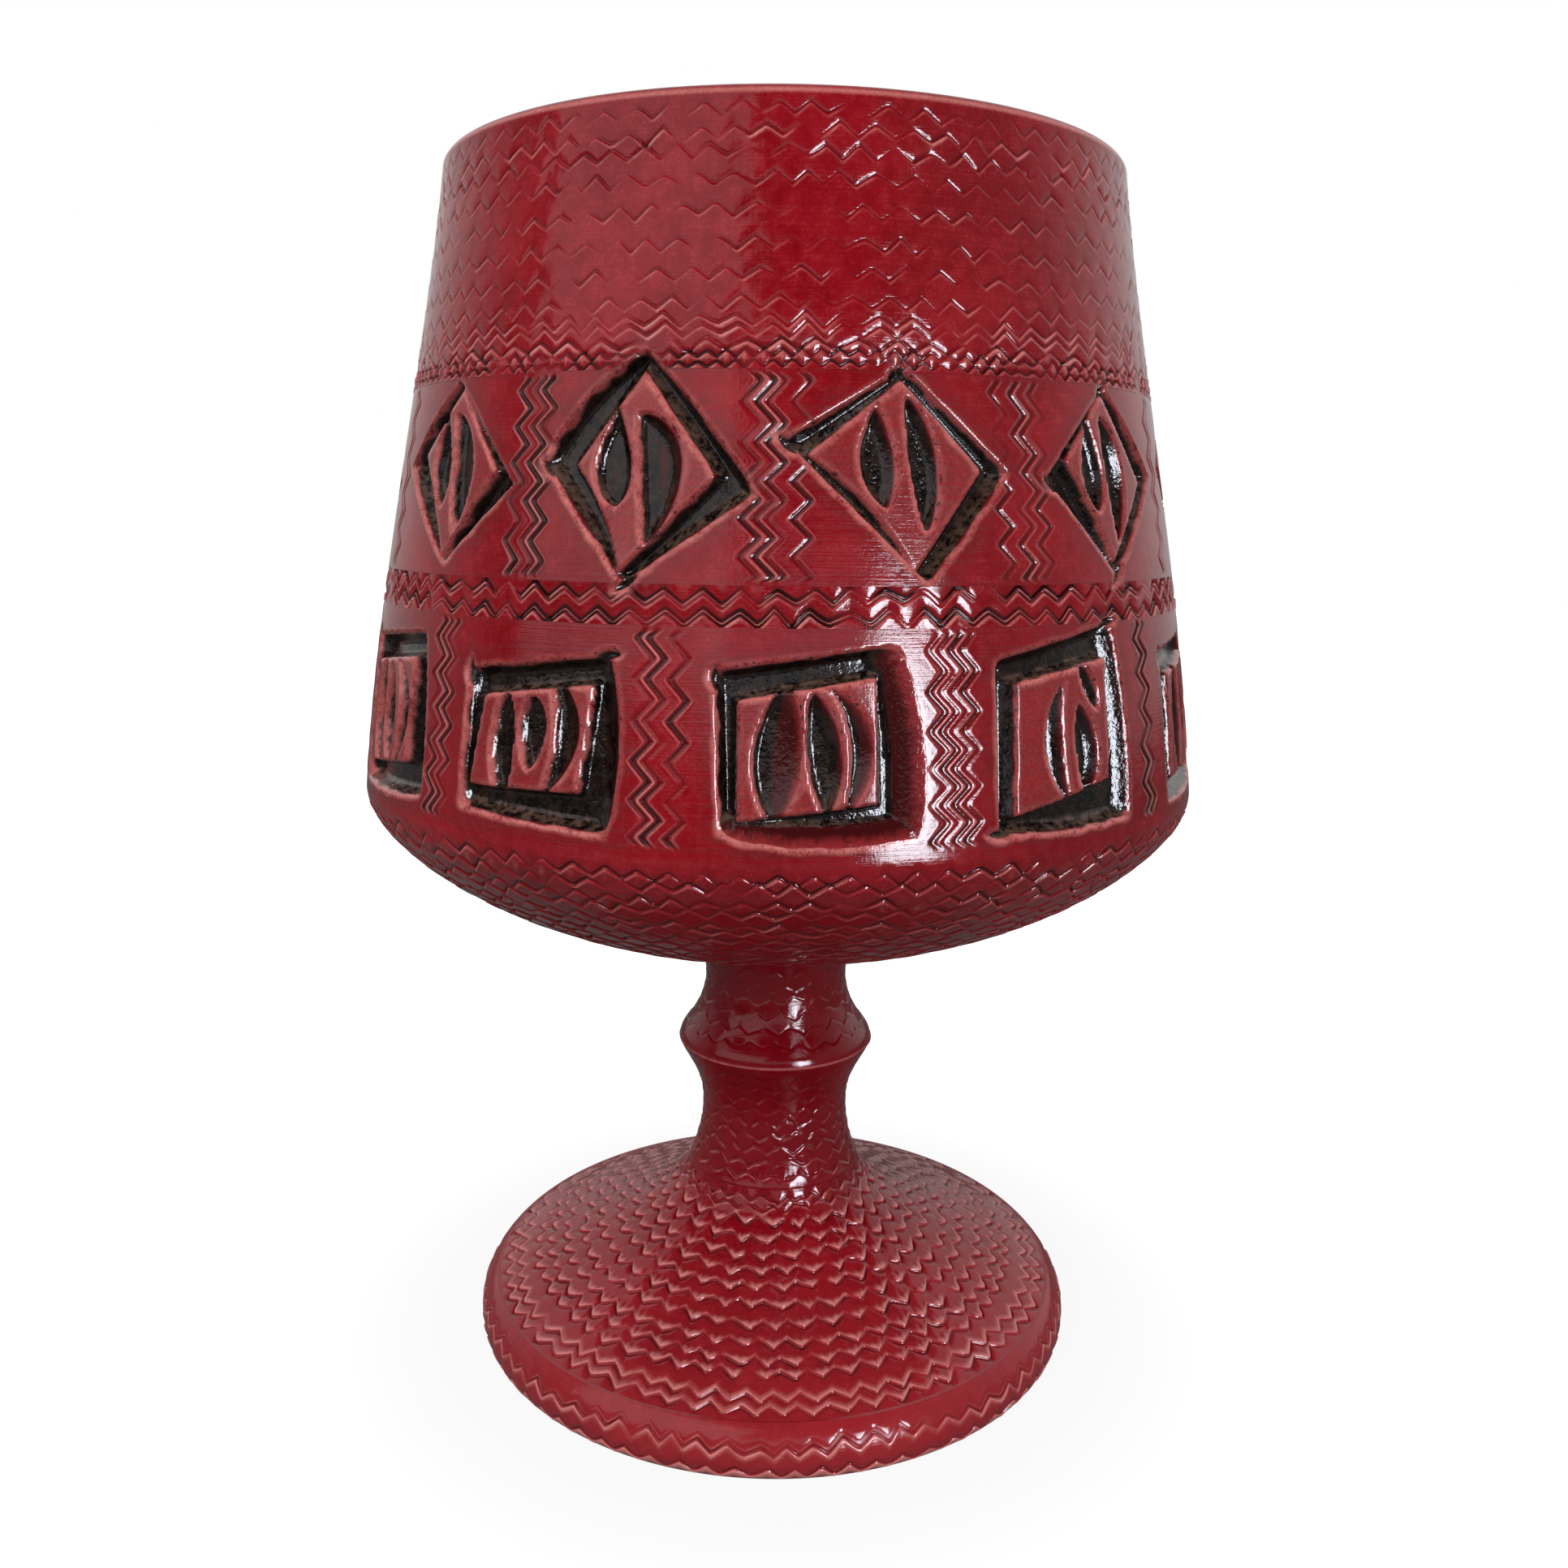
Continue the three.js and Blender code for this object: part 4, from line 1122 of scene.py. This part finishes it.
lowerRows = [row(height, pitch=6.9, shift=0.37 * k, rise=0.95, deep=0.42 - 0.035 * k, ink=0.4,
                 pale=0.45 - 0.03 * k) for k, height in enumerate(np.arange(46.2, 75, 3.5))]
upperRows = [row(height, pitch=6.9, shift=0.41 * k, rise=0.9, deep=0.18, ink=0.25, pale=0.25)
             for k, height in enumerate(np.arange(83.5, 105, 3.6))]
stemPiece("lower_stem", lowerStem, stem["neckRadius"], stem["lowerWaist"], stem["knopRadius"],
          ((0.6, 0.27), (1, 0.62)), ((0, 0.5), (0.8, 0.8)),
          stem["footSpigot"], stem["knopSpigot"], lowerRows)
stemPiece("upper_stem", upperStem, stem["knopRadius"], stem["upperWaist"], stem["collarRadius"],
          ((0, 0.22), (0.85, 0.35)), ((0, 0.45), (0.4, 0.75)),
          stem["knopSpigot"], stem["bowlSpigot"], upperRows)


def slipRing(name, node, spigot, radius, swelling, material):
    # A thin ring of slip, with a rim that swells a little and wavers round the stem
    low, high = heights(node)
    around = angles(stem["columns"])
    waver = roundNoise(random, around, 1, 3, 14)[0]
    inner = spigot + stem["clearance"]
    rings = Rings()
    rings.section([(inner, low)], stem["columns"])
    for share in np.linspace(0, 1, 7):
        rim = radius + swelling * math.sin(math.pi * share) * (1 + 0.35 * waver)
        rings.add(pointsAt(rim, around, low + (high - low) * share), sharp=share in (0, 1))
    rings.section([(inner, high)], stem["columns"])
    makePiece(name, rings, True, [material], node)


slipRing("foot_slip", "foot_slip_ring", stem["footSpigot"], stem["neckRadius"], 0.02, maroon)
slipRing("knop_slip", "knop_slip_ring", stem["knopSpigot"], stem["knopRadius"], 0.25, glazedSlip)
slipRing("bowl_slip", "bowl_slip_ring", stem["bowlSpigot"], stem["collarRadius"], 0.02, maroon)
print("stem made")


# Studio

view = dict(
    imageSide=1932,
    focalPixels=1711.6,
    sensor=36.0,
    distance=364.6,
    height=220.5,
    pitch=11.16,
    roll=0.65,
    centreColumn=958.5,
)
camera = linked("camera", bpy.data.cameras.new("camera"))
camera.data.sensor_width = view["sensor"]
camera.data.lens = view["focalPixels"] / view["imageSide"] * view["sensor"]
camera.data.shift_x = (view["imageSide"] / 2 - view["centreColumn"]) / view["imageSide"]
camera.data.clip_start = 0.01
lookDown = Matrix.Rotation(math.radians(90 - view["pitch"]), 4, "X")
stand = Matrix.Translation((0, -view["distance"] * metres, view["height"] * metres))
camera.matrix_world = stand @ lookDown @ Matrix.Rotation(math.radians(view["roll"]), 4, "Z")
bpy.context.scene.camera = camera


def softBox(name, centre, target, width, height, power, hidden="", colour=(1, 1, 1)):
    # An area lamp. Hidden is visible_glossy where no reflection shows it, or visible_diffuse where it is
    # only a reflection.
    data = bpy.data.lights.new(name, "AREA")
    data.shape = "RECTANGLE"
    data.size, data.size_y, data.energy, data.color = width, height, power, colour
    lamp = linked(name, data)
    lamp.location = centre
    lamp.rotation_euler = (Vector(target) - Vector(centre)).to_track_quat("-Z", "Y").to_euler()
    if hidden:
        setattr(lamp, hidden, False)


studio = dict(
    ambient=0.5,
    reflectedFront=0.02,
    reflectedBack=0.62,
    reflectedRight=0.2,
    reflectedBelow=0.4,
    key=5.8,
    softKey=10.6,
    softRight=7.4,
    window=12.0,
    wall=0.6,
    fill=0.8,
    windowTint=(0.86, 0.9, 1.0),
    floorColour=0.18,
    floorGlow=1.21,
    floorMix=0.76,
    floorReach=3.0,
    shadow=(0.085, 0.2),  # metres from the axis, where the floor's shadow begins and ends to fade
    ringLight=(0.06, 0.074),  # and where the light inside the foot's ring does
    ringGlow=0.5,
)
for name, place, target, width, height, hidden in (
        ("key", (-0.97, -1.0, 0.98), (0, 0, 0.15), 1.8, 1.3, ""),
        ("softKey", (-0.75, -1.1, 1.15), (0, 0, 0.15), 0.8, 0.8, "visible_glossy"),
        ("softRight", (0.8, -1.05, 0.38), (0, 0, 0.12), 0.6, 0.8, "visible_glossy"),
        ("fill", (-1.25, -0.5, 0.25), (0, 0, 0.12), 0.5, 0.9, "visible_glossy")):
    softBox(name, place, target, width, height, studio[name], hidden)
# Panes that only show as reflections: a window to the right of the camera, and a pale wall behind it
for name, place, width, height in (
        ("window", (0.68, -1.1, 0.24), 0.34, 0.44),
        ("wall", (0.1, -1.2, 0.44), 1.0, 0.26)):
    softBox(name, place, (0, 0, 0.22), width, height, studio[name], "visible_diffuse", studio["windowTint"])

world = bpy.data.worlds.new("studio")
bpy.context.scene.world = world
paint = Paint(world)
isCamera, isGlossy, isThrough = (
    paint.read("LightPath", "Is " + kind + " Ray") for kind in ("Camera", "Glossy", "Transmission"))
direction = paint.read("TexCoord", "Generated")
towardsRight, towardsBack, upwards = (paint.part(direction, axis) for axis in range(3))
above = studio["reflectedBelow"] + paint.step(upwards, -0.3, 0.3) * (1 - studio["reflectedBelow"])
reflected = studio["reflectedFront"] + above * (
    paint.step(towardsBack, -0.4, 0.8) * studio["reflectedBack"]
    + paint.step(towardsRight, 0.3, 0.9) * studio["reflectedRight"])
others = 1 - isCamera - isThrough - isGlossy
strength = isCamera + isThrough + isGlossy * reflected + others * studio["ambient"]
background = paint.node("Background", {}, {"Color": (1, 1, 1, 1), "Strength": strength})
paint.node("OutputWorld", {}, {"Surface": background})

floorMesh = bpy.data.meshes.new("floor")
edge = studio["floorReach"]
floorMesh.from_pydata([(-edge, -edge, 0), (edge, -edge, 0), (edge, edge, 0), (-edge, edge, 0)], [],
                      [(0, 1, 2, 3)])
floor = linked("floor", floorMesh)
floorMaterial = bpy.data.materials.new("floor")
paint = Paint(floorMaterial)
lit = paint.node("BsdfDiffuse", {}, {"Color": (*[studio["floorColour"]] * 3, 1)})
glow = paint.node("Emission", {}, {"Color": (1, 1, 1, 1), "Strength": studio["floorGlow"]})
# The shadow shows near the vase, and further out the floor goes to plain white
place = paint.read("TexCoord", "Object")
distance = paint.node("VectorMath", {"operation": "LENGTH"}, {0: place}, "Value")
away = paint.step(distance, *studio["shadow"])
# Inside the foot's ring the floor gives a little light, which only a look from underneath can show
inRing = 1 - paint.step(distance, *studio["ringLight"])
isSeen = paint.read("LightPath", "Is Camera Ray")
seen = isSeen * (studio["floorMix"] + away * (1 - studio["floorMix"]))
seen = seen + (1 - isSeen) * inRing * studio["ringGlow"]
shown = paint.node("MixShader", {}, {0: seen, 1: lit, 2: glow})
# From underneath the floor isn't there, so that the foot can be looked into
behind = paint.read("NewGeometry", "Backfacing")
clear = paint.node("BsdfTransparent")
shown = paint.node("MixShader", {}, {0: behind, 1: shown, 2: clear})
paint.node("OutputMaterial", {}, {"Surface": shown})
floorMesh.materials.append(floorMaterial)

bpy.context.scene.view_settings.view_transform = "Standard"
print("studio made")
